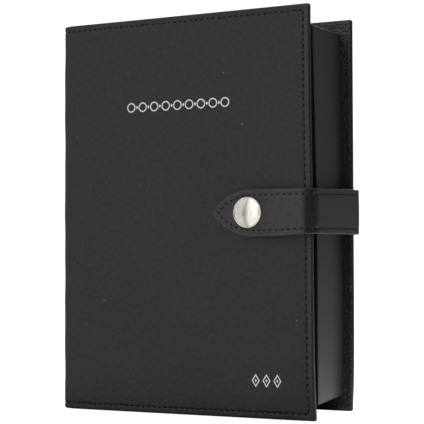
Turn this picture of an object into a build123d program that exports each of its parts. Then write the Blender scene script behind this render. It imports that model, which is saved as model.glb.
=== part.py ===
from build123d import *
import os
from math import sqrt

# A book-shaped leather case for finger rings, standing upright with its front cover towards -Y, its spine towards -X and its fore-edge
# towards +X. It is drawn with the front cover's outer face on Y = 0, the spine's outer face on X = 0 and the covers' bottom edges on
# Z = 0, and every piece is then moved so that the origin is under the middle of the whole object. Millimetres.

# ---------------------------------------------------------------- driving dimensions
W, T, H = 140.4, 54.0, 200.0          # cover width, closed thickness, height
LEATHER, BOARD, LINING = 0.8, 1.7, 0.5
COVER = LEATHER + BOARD + LINING      # one cover's thickness, 3.0
HINGE = 3.2                           # where each stiff panel stops at a leather joint
EDGE_R = 0.45                         # the leather's rounding at the covers' edges
STITCH_IN = 3.1                       # stitch line, in from the covers' edges
THREAD_W, THREAD_D = 0.6, 0.3         # thread as it lies in its channel
CHANNEL_W = 0.9

SQUARE_Z, SQUARE_X = 7.0, 4.0         # how far the covers stand out past the tray
TRAY_X0 = 4.0                         # tray's spine side
RIM_Y = 15.2                          # tray's rim, as faced with velvet
WRAP, WALL, BASE, VELVET = 0.6, 2.4, 2.0, 0.6
RIM_FACING = 0.5

ROLLS, ROLL_GAP, ROLL_H = 9, 0.5, 22.0

PAD_Y = 14.4                          # the lid pad's face
PAD_X0, PAD_X1, PAD_Z0, PAD_Z1 = 6.4, 133.0, 9.0, 191.0
PAD_R = 3.0

STRAP_Z, STRAP_W = 99.8, 22.5         # strap's centre line and width
STRAP_OUT, STRAP_IN = 1.3, 1.0        # its two layers of leather
STRAP_T = STRAP_OUT + STRAP_IN
FRONT_LIFT = 2.6                      # the snap holds the strap's front leg this far off the cover
SIDE_X = 141.2                        # strap's inner face beside the fore-edge
FRONT_R, BACK_R = 5.0, 1.0            # inner radii of its two bends
TAIL_Y = T + 0.05                     # strap tail's inner face on the back cover
TIP_X, TIP_LEN = 90.5, 19.5           # the point, and the length over which it widens
TAIL_X = 97.0
STRAP_STITCH = 2.7

SNAP_X, SNAP_Z = 109.0, 100.0
CAP_D = 15.1

# the object's box in the drawing frame, for the shift to the part's own origin
CAP_Y = -FRONT_LIFT - STRAP_T - 1.9
X_MAX, Y_MIN, Y_MAX = SIDE_X + STRAP_T, CAP_Y, TAIL_Y + STRAP_T
SHIFT = (-X_MAX / 2, -(Y_MIN + Y_MAX) / 2, 0.0)


def block(x0, x1, y0, y1, z0, z1):
    return Pos((x0 + x1) / 2, (y0 + y1) / 2, (z0 + z1) / 2) * Box(x1 - x0, y1 - y0, z1 - z0)


def up(face, z0, z1):
    """A profile drawn in X and Y, raised from z0 to z1."""
    return Pos(0, 0, z0) * extrude(face, z1 - z0)


def on_y(face, y0, y1):
    """A profile drawn in X and Z (given as its own x and y), thickened from y0 to y1."""
    solid = extrude(face, y1 - y0)                     # along the profile's own +Z
    return Pos(0, y1, 0) * (Rot(90, 0, 0) * solid)      # own y to Z, own z to -Y


def disc(x, z, r, y0, y1):
    return Pos(x, (y0 + y1) / 2, z) * (Rot(90, 0, 0) * Cylinder(r, abs(y1 - y0)))


def spun(points, x, z):
    """A profile of (radius, y) points turned about the line through x, z along Y."""
    face = make_face(Polyline(*[(r, y, 0) for r, y in points], close=True))
    return Pos(x, 0, z) * revolve(face, Axis.Y)


parts = {}

# ---------------------------------------------------------------- front cover, spine, back cover
hole = dict(x=SNAP_X, z=SNAP_Z)


def cover_leather(y_out, y_in):
    """Leather over one board's outer face and turned round its three free edges. y_out is its outer face, y_in the board's inner face."""
    lo, hi = min(y_out, y_in), max(y_out, y_in)
    body = block(HINGE, W, lo, hi, 0, H)
    edges = [e for e in body.edges() if abs(e.center().Y - y_out) < 1e-6 and e.center().X > HINGE + 1e-3]
    body = fillet(edges, EDGE_R)
    d = 1 if y_in > y_out else -1
    b0, b1 = sorted((y_out + d * LEATHER, y_in + d * 5))
    body -= block(HINGE - 5, W - LEATHER, b0, b1, LEATHER, H - LEATHER)
    return body


def seam(face_y, d, width, depth):
    """The stitch line of one cover: along the top, the fore-edge and the bottom, as a bar of the given width sunk into the face at face_y."""
    y0, y1 = sorted((face_y, face_y + d * depth))
    h = width / 2
    a, b, c = W - STITCH_IN, STITCH_IN, H - STITCH_IN
    return block(HINGE, a + h, y0, y1, b - h, b + h) + block(HINGE, a + h, y0, y1, c - h, c + h) + block(a - h, a + h, y0, y1, b - h, c + h)


front_leather = cover_leather(0, LEATHER + BOARD) - seam(0, 1, CHANNEL_W, THREAD_D)
front_leather -= disc(SNAP_X, SNAP_Z, 1.8, -1, 4)
front_board = block(HINGE, W - LEATHER, LEATHER, LEATHER + BOARD, LEATHER, H - LEATHER)
front_board -= disc(SNAP_X, SNAP_Z, 1.8, -1, 4) + disc(SNAP_X, SNAP_Z, 5.7, LEATHER + BOARD - 0.55, 4)
parts["front_cover_leather"] = front_leather
parts["front_cover_board"] = front_board
parts["front_cover_lining"] = block(HINGE, W - 0.6, LEATHER + BOARD, COVER, 0.6, H - 0.6)
parts["front_cover_stitching"] = seam(0, 1, THREAD_W, THREAD_D)

parts["back_cover_leather"] = cover_leather(T, T - LEATHER - BOARD) - seam(T, -1, CHANNEL_W, THREAD_D)
parts["back_cover_board"] = block(HINGE, W - LEATHER, T - LEATHER - BOARD, T - LEATHER, LEATHER, H - LEATHER)
parts["back_cover_lining"] = block(HINGE, W - 0.6, T - COVER, T - LEATHER - BOARD, 0.6, H - 0.6)
parts["back_cover_stitching"] = seam(T, -1, THREAD_W, THREAD_D)

spine = block(0, LEATHER + BOARD, HINGE, T - HINGE, 0, H)
spine = fillet([e for e in spine.edges() if abs(e.center().X) < 1e-6 and abs(e.center().Y - T / 2) < 1e-6], EDGE_R)
spine -= block(LEATHER, 9, HINGE - 5, T, LEATHER, H - LEATHER)
rows = [z for z in (STITCH_IN, H - STITCH_IN)]
for z in rows:
    spine -= block(-1, THREAD_D, HINGE - 1, T, z - CHANNEL_W / 2, z + CHANNEL_W / 2)
parts["spine_leather"] = spine
parts["spine_board"] = block(LEATHER, LEATHER + BOARD, HINGE, T - HINGE, LEATHER, H - LEATHER)
parts["spine_lining"] = block(LEATHER + BOARD, COVER, HINGE + 0.2, T - HINGE - 0.2, 0.6, H - 0.6)
parts["spine_stitching"] = Compound([block(0, THREAD_D, HINGE, T - HINGE, z - THREAD_W / 2, z + THREAD_W / 2) for z in rows])

# the leather joints: an L of leather round each spine corner, with a round outer bend
JOINT_R = 1.8


def joint(flip):
    a, r, t = HINGE, JOINT_R, LEATHER
    q = sqrt(0.5)
    outer = Polyline((a, t), (a, 0), (r, 0)) + ThreePointArc((r, 0), (r - r * q, r - r * q), (0, r)) + Polyline((0, r), (0, a), (t, a), (t, r))
    s = r - t
    face = make_face(outer + ThreePointArc((t, r), (r - s * q, r - s * q), (r, t)) + Line((r, t), (a, t)))
    solid = up(face, 0.2, H - 0.2)
    return solid if not flip else Pos(0, T, 0) * mirror(solid, Plane.XZ)


parts["front_joint_leather"] = joint(False)
parts["back_joint_leather"] = joint(True)

# ---------------------------------------------------------------- tray, glued to the back cover's lining
tx0, tx1 = TRAY_X0, W - SQUARE_X
tz0, tz1 = SQUARE_Z, H - SQUARE_Z
ty0, ty1 = RIM_Y, T - COVER
bx0, bx1, bz0, bz1 = tx0 + WRAP, tx1 - WRAP, tz0 + WRAP, tz1 - WRAP      # boards' outline
wy0 = ty0 + RIM_FACING                                                   # walls' front ends
floor_y = ty1 - BASE
parts["tray_base_board"] = block(bx0, bx1, floor_y, ty1, bz0, bz1)
parts["tray_top_wall"] = block(bx0, bx1, wy0, floor_y, bz1 - WALL, bz1)
parts["tray_bottom_wall"] = block(bx0, bx1, wy0, floor_y, bz0, bz0 + WALL)
parts["tray_fore_edge_wall"] = block(bx1 - WALL, bx1, wy0, floor_y, bz0 + WALL, bz1 - WALL)
parts["tray_spine_wall"] = block(bx0, bx0 + WALL, wy0, floor_y, bz0 + WALL, bz1 - WALL)
wrap = block(tx0, tx1, wy0, ty1, tz0, tz1)
wrap = fillet([e for e in wrap.edges() if abs(abs(e.tangent_at(0.5).Y) - 1) < 1e-6], 0.5)
parts["tray_wrap"] = wrap - block(bx0, bx1, 0, T, bz0, bz1)
ix0, ix1, iz0, iz1 = bx0 + WALL, bx1 - WALL, bz0 + WALL, bz1 - WALL      # inside the walls
rim = block(tx0, tx1, ty0, wy0, tz0, tz1) + block(ix0, ix1, wy0, floor_y, iz0, iz1)
parts["tray_lining"] = rim - block(ix0 + VELVET, ix1 - VELVET, 0, T, iz0 + VELVET, iz1 - VELVET)
lx0, lx1, lz0, lz1 = ix0 + VELVET, ix1 - VELVET, iz0 + VELVET, iz1 - VELVET
parts["tray_floor_lining"] = block(lx0, lx1, floor_y - VELVET, floor_y, lz0, lz1)

# nine ring rolls across the tray: foam in a velvet sleeve, a flat foot glued down and a round top that rings press between
pitch = (lz1 - lz0) / ROLLS
r = (pitch - ROLL_GAP) / 2
foot = floor_y - VELVET


def roll_face(z, shrink):
    rr, top, bot = r - shrink, foot - ROLL_H + shrink, foot - shrink
    # drawn in Y and Z: a round top towards the opening and a flat foot
    return make_face(
        Polyline((top + rr, z - rr), (bot, z - rr), (bot, z + rr), (top + rr, z + rr))
        + ThreePointArc((top + rr, z + rr), (top, z), (top + rr, z - rr))
    )


def along_x(face, x0, x1):
    """A profile drawn in Y and Z, raised from x0 to x1."""
    return Plane((x0, 0, 0), x_dir=(0, 1, 0), z_dir=(1, 0, 0)) * extrude(face, x1 - x0)


for n in range(ROLLS):
    z = lz0 + pitch * (n + 0.5)
    whole, core = along_x(roll_face(z, 0), lx0 + 0.5, lx1 - 0.5), along_x(roll_face(z, VELVET), lx0 + 0.5, lx1 - 0.5)
    parts[f"ring_roll_sleeve_{n + 1}"] = whole - core
    parts[f"ring_roll_foam_{n + 1}"] = core

# ---------------------------------------------------------------- lid pad on the front cover's inside
pad = block(PAD_X0, PAD_X1, COVER, PAD_Y, PAD_Z0, PAD_Z1)
pad = fillet([e for e in pad.edges() if abs(abs(e.tangent_at(0.5).Y) - 1) < 1e-6], PAD_R + 1)
pad = fillet([e for e in pad.edges() if abs(e.center().Y - PAD_Y) < 1e-6], PAD_R)
core = block(PAD_X0 + VELVET, PAD_X1 - VELVET, COVER, PAD_Y - VELVET, PAD_Z0 + VELVET, PAD_Z1 - VELVET)
core = fillet([e for e in core.edges() if abs(abs(e.tangent_at(0.5).Y) - 1) < 1e-6], PAD_R + 1 - VELVET)
core = fillet([e for e in core.edges() if abs(e.center().Y - PAD_Y + VELVET) < 1e-6], PAD_R - VELVET)
parts["lid_pad_velvet"] = pad - core
parts["lid_pad_foam"] = core

# ---------------------------------------------------------------- strap
fy_out = -FRONT_LIFT - STRAP_T           # front leg's outer face
fy_mid = fy_out + STRAP_OUT
sx_out = SIDE_X + STRAP_T
sx_mid = SIDE_X + STRAP_IN
by_mid = TAIL_Y + STRAP_IN
z0, z1 = STRAP_Z - STRAP_W / 2, STRAP_Z + STRAP_W / 2
fcx, fcy = SIDE_X - FRONT_R, -FRONT_LIFT + FRONT_R       # front bend's centre
bcx, bcy = SIDE_X - BACK_R, TAIL_Y - BACK_R              # back bend's centre


def tip_outline(inset):
    """The front leg's outline in X and Z, with its pointed end, set in all round but at the bend."""
    b = STRAP_W / 2
    R = (TIP_LEN**2 + b**2) / (2 * b)                    # the two arcs that meet at the point
    sx = TIP_X + TIP_LEN                                 # where they become straight
    Ri, bi = R - inset, b - inset
    tip = sx - sqrt(Ri**2 - (R - b) ** 2)
    ang_x = sx - (sx - tip) * 0.45
    zz = sqrt(Ri**2 - (sx - ang_x) ** 2) - (R - b)
    up_arc = ThreePointArc((tip, STRAP_Z), (ang_x, STRAP_Z + zz), (sx, STRAP_Z + bi))
    dn_arc = ThreePointArc((sx, STRAP_Z - bi), (ang_x, STRAP_Z - zz), (tip, STRAP_Z))
    return make_face(up_arc + Polyline((sx, STRAP_Z + bi), (fcx, STRAP_Z + bi), (fcx, STRAP_Z - bi), (sx, STRAP_Z - bi)) + dn_arc)


def ring_of(outline, inset, width):
    return outline(inset - width / 2) - outline(inset + width / 2)


def tail_outline(inset):
    b, x0 = STRAP_W / 2 - inset, TAIL_X + inset
    face = make_face(Polyline((bcx, STRAP_Z - b), (x0, STRAP_Z - b), (x0, STRAP_Z + b), (bcx, STRAP_Z + b), close=True))
    corners = [v for v in face.vertices() if v.X < x0 + 1e-6]
    return fillet(corners, max(0.5, 5.0 - inset))


DEPTH = 0.25
lead = tip_outline(0)
cut = on_y(ring_of(tip_outline, STRAP_STITCH, CHANNEL_W), fy_out - 1, fy_out + DEPTH)
parts["strap_tip_leather"] = on_y(lead, fy_out, fy_mid) - cut - disc(SNAP_X, SNAP_Z, 2.0, -9, 0)
parts["strap_tip_lining"] = on_y(lead, fy_mid, -FRONT_LIFT) - disc(SNAP_X, SNAP_Z, 2.0, -9, 0)
parts["strap_tip_stitching"] = on_y(ring_of(tip_outline, STRAP_STITCH, THREAD_W), fy_out, fy_out + DEPTH)

side_rows = [z0 + STRAP_STITCH, z1 - STRAP_STITCH]
side = block(sx_mid, sx_out, fcy, bcy, z0, z1)
for z in side_rows:
    side -= block(sx_out - DEPTH, sx_out + 1, 0, T + 1, z - CHANNEL_W / 2, z + CHANNEL_W / 2)
parts["strap_side_leather"] = side
parts["strap_side_lining"] = block(SIDE_X, sx_mid, fcy, bcy, z0, z1)
parts["strap_side_stitching"] = Compound([block(sx_out - DEPTH, sx_out, fcy, bcy, z - THREAD_W / 2, z + THREAD_W / 2) for z in side_rows])

tail = tail_outline(0)
cut = on_y(ring_of(tail_outline, STRAP_STITCH, CHANNEL_W), TAIL_Y + STRAP_T - DEPTH, TAIL_Y + STRAP_T + 1)
parts["strap_tail_leather"] = on_y(tail, by_mid, TAIL_Y + STRAP_T) - cut
parts["strap_tail_lining"] = on_y(tail, TAIL_Y, by_mid)
parts["strap_tail_stitching"] = on_y(ring_of(tail_outline, STRAP_STITCH, THREAD_W), TAIL_Y + STRAP_T - DEPTH, TAIL_Y + STRAP_T)


def bend(cx, cy, ra, rb, side):
    """A quarter bend of leather between radii ra and rb. side is -1 for the front corner, +1 for the back one."""
    q = sqrt(0.5)
    p = lambda rad, ux, uy: (cx + rad * ux, cy + side * rad * uy)
    face = make_face(
        Line(p(ra, 1, 0), p(rb, 1, 0))
        + ThreePointArc(p(rb, 1, 0), p(rb, q, q), p(rb, 0, 1))
        + Line(p(rb, 0, 1), p(ra, 0, 1))
        + ThreePointArc(p(ra, 0, 1), p(ra, q, q), p(ra, 1, 0))
    )
    return up(face, z0, z1)


parts["strap_front_bend_leather"] = bend(fcx, fcy, FRONT_R + STRAP_IN, FRONT_R + STRAP_T, -1)
parts["strap_front_bend_lining"] = bend(fcx, fcy, FRONT_R, FRONT_R + STRAP_IN, -1)
parts["strap_back_bend_leather"] = bend(bcx, bcy, BACK_R + STRAP_IN, BACK_R + STRAP_T, 1)
parts["strap_back_bend_lining"] = bend(bcx, bcy, BACK_R, BACK_R + STRAP_IN, 1)

# ---------------------------------------------------------------- press snap
# cap with a rolled rim and a post through the strap, which is clinched over inside the socket
R = CAP_D / 2
cap = spun([(0, CAP_Y), (3.0, CAP_Y + 0.12), (5.4, CAP_Y + 0.45), (6.6, CAP_Y + 0.8), (7.2, CAP_Y + 1.05), (R, CAP_Y + 1.4),
            (R, fy_out - 0.12), (R - 0.3, fy_out), (1.85, fy_out), (1.85, -2.05), (2.35, -2.05), (2.35, -1.8), (0, -1.8)], SNAP_X, SNAP_Z)
parts["snap_cap"] = cap
parts["snap_socket"] = spun([(1.95, -FRONT_LIFT), (5.6, -FRONT_LIFT), (5.6, -2.2), (5.1, -0.75), (4.7, -0.55), (3.25, -0.55), (3.15, -0.8),
                             (3.3, -1.1), (3.3, -2.1), (1.95, -2.1)], SNAP_X, SNAP_Z)
parts["snap_stud"] = spun([(1.62, 0), (4.6, 0), (4.6, -0.2), (4.3, -0.3), (2.5, -0.3), (2.45, -0.75), (2.8, -1.0), (2.8, -1.2), (2.45, -1.45),
                           (1.62, -1.45)], SNAP_X, SNAP_Z)
parts["snap_post"] = spun([(0, -1.5), (1.6, -1.5), (1.6, LEATHER + BOARD - 0.5), (5.5, LEATHER + BOARD - 0.5), (5.5, LEATHER + BOARD), (0, LEATHER + BOARD)],
                          SNAP_X, SNAP_Z)

# ---------------------------------------------------------------- write one file for each piece, about the part's own origin
os.makedirs("parts", exist_ok=True)
for name, shape in parts.items():
    solids = [Pos(*SHIFT) * s for s in shape.solids()]
    export_step(solids[0] if len(solids) == 1 else Compound(solids), f"parts/{name}.step")
print(len(parts), "nodes; shift", [round(v, 3) for v in SHIFT])
print("hinge lines:", "front joint", (LEATHER / 2, LEATHER / 2), "back joint", (LEATHER / 2, T - LEATHER / 2),
      "strap back", ((SIDE_X + sx_out) / 2, TAIL_Y + STRAP_T / 2), "strap front", ((SIDE_X + sx_out) / 2, fy_out + STRAP_T / 2))
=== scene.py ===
import math
import random

import bmesh
import bpy
import numpy as np
from mathutils import Matrix, Vector, noise


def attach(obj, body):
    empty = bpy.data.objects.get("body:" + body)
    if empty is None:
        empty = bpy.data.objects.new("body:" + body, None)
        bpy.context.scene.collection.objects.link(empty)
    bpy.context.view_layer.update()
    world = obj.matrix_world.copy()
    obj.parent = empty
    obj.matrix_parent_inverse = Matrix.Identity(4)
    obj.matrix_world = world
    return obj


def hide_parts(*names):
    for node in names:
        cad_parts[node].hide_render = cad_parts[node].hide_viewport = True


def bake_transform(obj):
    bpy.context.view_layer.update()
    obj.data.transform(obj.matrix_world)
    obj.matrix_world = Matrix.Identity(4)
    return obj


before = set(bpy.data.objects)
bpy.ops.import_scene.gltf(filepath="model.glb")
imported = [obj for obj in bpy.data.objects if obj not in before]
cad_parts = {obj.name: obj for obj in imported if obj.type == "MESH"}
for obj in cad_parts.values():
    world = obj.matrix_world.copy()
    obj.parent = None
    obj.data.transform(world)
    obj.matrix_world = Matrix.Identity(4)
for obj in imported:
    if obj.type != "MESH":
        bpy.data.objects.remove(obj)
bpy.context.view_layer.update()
scene = bpy.context.scene
rng = random.Random(11)

# Everything below is laid out in millimetres on the case's own drawing: front cover's outer face on y = 0, spine's outer face on
# x = 0, bottom edges on z = 0. This shift brings a point to the part's frame.
SX, SY = -71.75, -24.775
W, T, H = 140.4, 54.0, 200.0


def place(p):
    q = np.array(p, float).reshape(-1, 3).copy()
    q[:, 0] += SX
    q[:, 1] += SY
    return q / 1000.0


def spot(x, y, z):
    return tuple(place((x, y, z))[0])


# ------------------------------------------------------------------------------------------------ camera
cam_data = bpy.data.cameras.new("camera")
cam_data.lens, cam_data.sensor_width, cam_data.sensor_fit = 118.478, 36.0, "AUTO"
cam_data.clip_start, cam_data.clip_end = 0.05, 30.0
camera = bpy.data.objects.new("camera", cam_data)
scene.collection.objects.link(camera)
yaw, pitch, roll = math.radians(27.4401), math.radians(2.002), math.radians(-0.1591)
fwd = Vector((-math.sin(yaw) * math.cos(pitch), math.cos(yaw) * math.cos(pitch), math.sin(pitch)))
right = Vector((math.cos(yaw), math.sin(yaw), 0.0))
upv = right.cross(fwd)
r2 = right * math.cos(roll) + upv * math.sin(roll)
u2 = -right * math.sin(roll) + upv * math.cos(roll)
camera.matrix_world = Matrix(
    ((r2.x, u2.x, -fwd.x, 0.3333245), (r2.y, u2.y, -fwd.y, -0.6376294), (r2.z, u2.z, -fwd.z, 0.0766352), (0, 0, 0, 1))
)
scene.camera = camera


# ------------------------------------------------------------------------------------------------ materials
class Nodes:
    """A short way to write a node tree."""

    def __init__(self, name):
        self.mat = bpy.data.materials.new(name)
        self.mat.use_nodes = True
        self.t = self.mat.node_tree
        self.bsdf = self.t.nodes["Principled BSDF"]
        self.out = self.t.nodes["Material Output"]

    def n(self, kind, **values):
        node = self.t.nodes.new(kind)
        for k, v in values.items():
            if hasattr(node, k) and k not in ("location",):
                setattr(node, k, v)
            else:
                node.inputs[k.replace("_", " ")].default_value = v
        return node

    def link(self, a, b):
        self.t.links.new(a, b)

    def coords(self, uv=True, scale=1.0):
        """Surface coordinates in millimetres times scale: along the sheet for a sheet, or the piece's own for a solid piece."""
        if uv:
            src = self.n("ShaderNodeUVMap", uv_map="UVMap").outputs["UV"]
            k = 100.0 * scale
        else:
            src = self.n("ShaderNodeTexCoord").outputs["Object"]
            k = 1000.0 * scale
        m = self.n("ShaderNodeMapping")
        m.inputs["Scale"].default_value = (k, k, k)
        self.link(src, m.inputs["Vector"])
        return m.outputs["Vector"]

    def noise(self, vec, scale, detail=3.0, rough=0.55, distortion=0.0):
        x = self.n("ShaderNodeTexNoise")
        x.inputs["Scale"].default_value = scale
        x.inputs["Detail"].default_value = detail
        x.inputs["Roughness"].default_value = rough
        x.inputs["Distortion"].default_value = distortion
        self.link(vec, x.inputs["Vector"])
        return x.outputs["Fac"]

    def voronoi(self, vec, scale, feature="F1", rand=1.0, out="Distance", smooth=None):
        x = self.n("ShaderNodeTexVoronoi")
        x.feature = feature
        x.inputs["Scale"].default_value = scale
        x.inputs["Randomness"].default_value = rand
        if smooth is not None:
            x.inputs["Smoothness"].default_value = smooth
        self.link(vec, x.inputs["Vector"])
        return x.outputs[out]

    def ramp(self, fac, stops, interpolation="LINEAR"):
        x = self.n("ShaderNodeValToRGB")
        x.color_ramp.interpolation = interpolation
        e = x.color_ramp.elements
        while len(e) < len(stops):
            e.new(0.5)
        for k, (p, c) in enumerate(stops):
            e[k].position = p
            e[k].color = (*(c if hasattr(c, "__len__") else (c, c, c)), 1.0)
        self.link(fac, x.inputs["Fac"])
        return x.outputs["Color"]

    def math(self, op, a, b=None, clamp=False):
        x = self.n("ShaderNodeMath")
        x.operation = op
        x.use_clamp = clamp
        for k, v in enumerate((a, b)):
            if v is None:
                continue
            if isinstance(v, (int, float)):
                x.inputs[k].default_value = v
            else:
                self.link(v, x.inputs[k])
        return x.outputs[0]

    def mix(self, fac, a, b, blend="MIX"):
        x = self.n("ShaderNodeMix")
        x.data_type = "RGBA"
        x.blend_type = blend
        rgba = [s for s in x.inputs if s.type == "RGBA"]
        if isinstance(fac, (int, float)):
            x.inputs[0].default_value = fac
        else:
            self.link(fac, x.inputs[0])
        for sock, v in zip(rgba, (a, b)):
            if isinstance(v, (tuple, list)):
                sock.default_value = (*v, 1.0)
            else:
                self.link(v, sock)
        return [s for s in x.outputs if s.type == "RGBA"][0]

    def attr(self, name):
        x = self.n("ShaderNodeAttribute")
        x.attribute_name = name
        return x.outputs["Fac"]

    def bump(self, height, distance, strength=1.0, normal=None):
        x = self.n("ShaderNodeBump")
        x.inputs["Strength"].default_value = strength
        x.inputs["Distance"].default_value = distance
        self.link(height, x.inputs["Height"])
        if normal is not None:
            self.link(normal, x.inputs["Normal"])
        return x.outputs["Normal"]

    def set(self, **values):
        for k, v in values.items():
            s = self.bsdf.inputs[k.replace("_", " ")]
            if isinstance(v, (int, float)):
                s.default_value = v
            elif isinstance(v, (tuple, list)):
                s.default_value = (*v, 1.0)
            else:
                self.link(v, s)


def leather(name, dark, light, rough, spec, cell=0.62, grain=0.035, uv=True, wear_and_painted_light=0.0, dust=0.0, pebble=None, tint=(1, 1, 1), gloss=(1, 1, 1)):
    """Aniline-black leather: fine pored grain, soft cloudy tone, a few creases, and paler patches where the attribute
    says so: rubbed edges, and on the covers a painted highlight and painted light along the fore-edge.
    """
    m = Nodes(name)
    c = m.coords(uv)
    warp = m.noise(c, 0.55, 2.0)
    grainy = m.voronoi(c, 1.0 / cell, "F1", 0.95)
    pores = m.noise(c, 1.15, 5.0, 0.68)
    fine = m.noise(c, 6.5, 3.0, 0.6)
    cloud = m.noise(c, 0.028, 3.0, 0.6)
    mottle = m.noise(c, 0.42, 3.0, 0.62)
    shade = m.math("ADD", m.math("MULTIPLY", cloud, 0.45), m.math("MULTIPLY", mottle, 0.35))
    shade = m.math("ADD", shade, m.math("MULTIPLY", fine, 0.2))
    col = m.ramp(shade, [(0.3, tuple(d * t for d, t in zip((dark,) * 3, tint))), (0.72, tuple(l * t for l, t in zip((light,) * 3, tint)))])
    # paler patches: rubbed edges, and on the covers a painted highlight along the fore-edge margin and painted floor
    # light at its foot
    if wear_and_painted_light:
        scuff_and_painted_light = m.math("MULTIPLY", m.attr("wear_and_painted_light"), m.ramp(m.noise(c, 0.9, 4.0, 0.7), [(0.35, 0.25), (0.7, 1.0)]), True)
        col = m.mix(m.math("MULTIPLY", scuff_and_painted_light, wear_and_painted_light, True), col, (0.115, 0.108, 0.098))
    if dust:
        specks = m.ramp(m.voronoi(c, 0.11, "F1", 1.0), [(0.0, 1.0), (0.034, 1.0), (0.05, 0.0)])
        chosen = m.ramp(m.noise(c, 0.09, 1.0), [(0.5, 0.0), (0.56, 1.0)])
        col = m.mix(m.math("MULTIPLY", m.math("MULTIPLY", specks, chosen), dust, True), col, (0.3, 0.29, 0.27))
    coarse = m.noise(c, 0.5, 4.0, 0.72)
    height = m.math("ADD", m.math("MULTIPLY", grainy, 0.45), m.math("MULTIPLY", pores, 0.9))
    height = m.math("ADD", height, m.math("MULTIPLY", warp, 0.5))
    height = m.math("ADD", height, m.math("MULTIPLY", coarse, 1.6))
    normal = m.bump(height, grain / 1000.0, 1.0)
    if pebble:
        size_mm, deep = pebble
        bumps = m.voronoi(c, 1.0 / size_mm, "SMOOTH_F1", 0.9, smooth=0.35)
        lumps = m.math("ADD", m.math("MULTIPLY", bumps, -1.0), m.math("MULTIPLY", m.noise(c, 0.8 / size_mm, 2.0), 0.5))
        normal = m.bump(lumps, deep / 1000.0, 1.0, normal)
    rg = m.ramp(m.math("ADD", m.math("MULTIPLY", mottle, 0.6), m.math("MULTIPLY", pores, 0.4)), [(0.3, max(0.0, rough - 0.06)), (0.7, min(1.0, rough + 0.07))])
    sheen = m.math("ADD", m.math("MULTIPLY", mottle, 0.55), m.math("MULTIPLY", pores, 0.45))
    sheen = m.ramp(sheen, [(0.36, spec * 0.82), (0.64, spec * 1.18)])
    m.set(Base_Color=col, Roughness=rg, Normal=normal, Specular_IOR_Level=sheen)
    m.bsdf.inputs["Specular Tint"].default_value = (*gloss, 1.0)
    return m.mat


def leatherette(name, dark, light):
    """Smooth coated covering material: satin, with faint rubbed patches and a slight orange-peel."""
    m = Nodes(name)
    c = m.coords(True)
    cloud = m.noise(c, 0.035, 4.0, 0.6)
    peel = m.noise(c, 0.9, 3.0, 0.6)
    fine = m.noise(c, 3.5, 2.0, 0.5)
    specks = m.ramp(m.voronoi(c, 0.11, "F1", 1.0), [(0.0, 1.0), (0.02, 1.0), (0.03, 0.0)])
    col = m.ramp(m.math("ADD", m.math("MULTIPLY", cloud, 0.6), m.math("MULTIPLY", fine, 0.4)), [(0.3, (dark * 1.05, dark, dark * 0.90)), (0.72, (light * 1.05, light, light * 0.90))])
    col = m.mix(m.math("MULTIPLY", specks, 0.35, True), col, (0.14, 0.13, 0.12))
    m.set(Base_Color=col, Roughness=m.ramp(m.math("ADD", m.math("MULTIPLY", cloud, 0.5), m.math("MULTIPLY", peel, 0.5)), [(0.3, 0.42), (0.7, 0.5)]), Normal=m.bump(peel, 0.00004, 1.0))
    m.bsdf.inputs["Specular IOR Level"].default_value = 0.35
    return m.mat


def velvet(name, dark, light, sheen, uv=True):
    m = Nodes(name)
    c = m.coords(uv)
    nap = m.noise(c, 0.16, 3.0, 0.6, 0.6)
    pile = m.noise(c, 3.4, 3.0, 0.7)
    col = m.ramp(m.math("ADD", m.math("MULTIPLY", nap, 0.7), m.math("MULTIPLY", pile, 0.3)), [(0.34, dark), (0.66, light)])
    m.set(Base_Color=col, Normal=m.bump(pile, 0.00012, 0.8), Roughness=0.92)
    m.bsdf.inputs["Specular IOR Level"].default_value = 0.15
    m.bsdf.inputs["Sheen Weight"].default_value = sheen
    m.bsdf.inputs["Sheen Roughness"].default_value = 0.42
    m.bsdf.inputs["Sheen Tint"].default_value = (0.75, 0.77, 0.8, 1.0)
    return m.mat


def thread_material(name, tone):
    m = Nodes(name)
    c = m.coords(True)
    w = m.n("ShaderNodeTexWave")
    w.wave_type, w.bands_direction = "BANDS", "DIAGONAL"
    w.inputs["Scale"].default_value = 0.95
    w.inputs["Distortion"].default_value = 0.6
    m.link(c, w.inputs["Vector"])
    fibre = m.noise(c, 9.0, 2.0)
    col = m.ramp(w.outputs["Fac"], [(0.1, tone * 0.55), (0.8, tone * 1.35)])
    m.set(Base_Color=m.mix(0.3, col, m.ramp(fibre, [(0.3, tone * 0.6), (0.7, tone * 1.5)])), Roughness=0.75, Normal=m.bump(w.outputs["Fac"], 0.00006, 0.9))
    m.bsdf.inputs["Specular IOR Level"].default_value = 0.12
    return m.mat


def metal(name, colour, rough, spread=0.05, streak=0.0):
    m = Nodes(name)
    c = m.coords(False)
    fog = m.noise(c, 0.35, 4.0, 0.6)
    hair = m.noise(c, 5.0, 3.0, 0.7)
    m.set(
        Base_Color=m.ramp(fog, [(0.3, tuple(v * 0.93 for v in colour)), (0.7, colour)]),
        Roughness=m.ramp(hair, [(0.3, max(0.02, rough - spread)), (0.7, rough + spread)]),
        Normal=m.bump(hair, 0.000006, 0.35),
    )
    m.bsdf.inputs["Metallic"].default_value = 1.0
    return m.mat


def board_material(name, tone):
    m = Nodes(name)
    c = m.coords(False)
    pulp = m.noise(c, 1.8, 5.0, 0.7)
    fleck = m.voronoi(c, 1.1, "F1", 1.0)
    col = m.mix(0.35, m.ramp(pulp, [(0.3, tuple(t * 0.75 for t in tone)), (0.7, tone)]), m.ramp(fleck, [(0.05, tuple(t * 0.5 for t in tone)), (0.3, tone)]))
    m.set(Base_Color=col, Roughness=0.9, Normal=m.bump(pulp, 0.00008, 0.7))
    return m.mat


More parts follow.
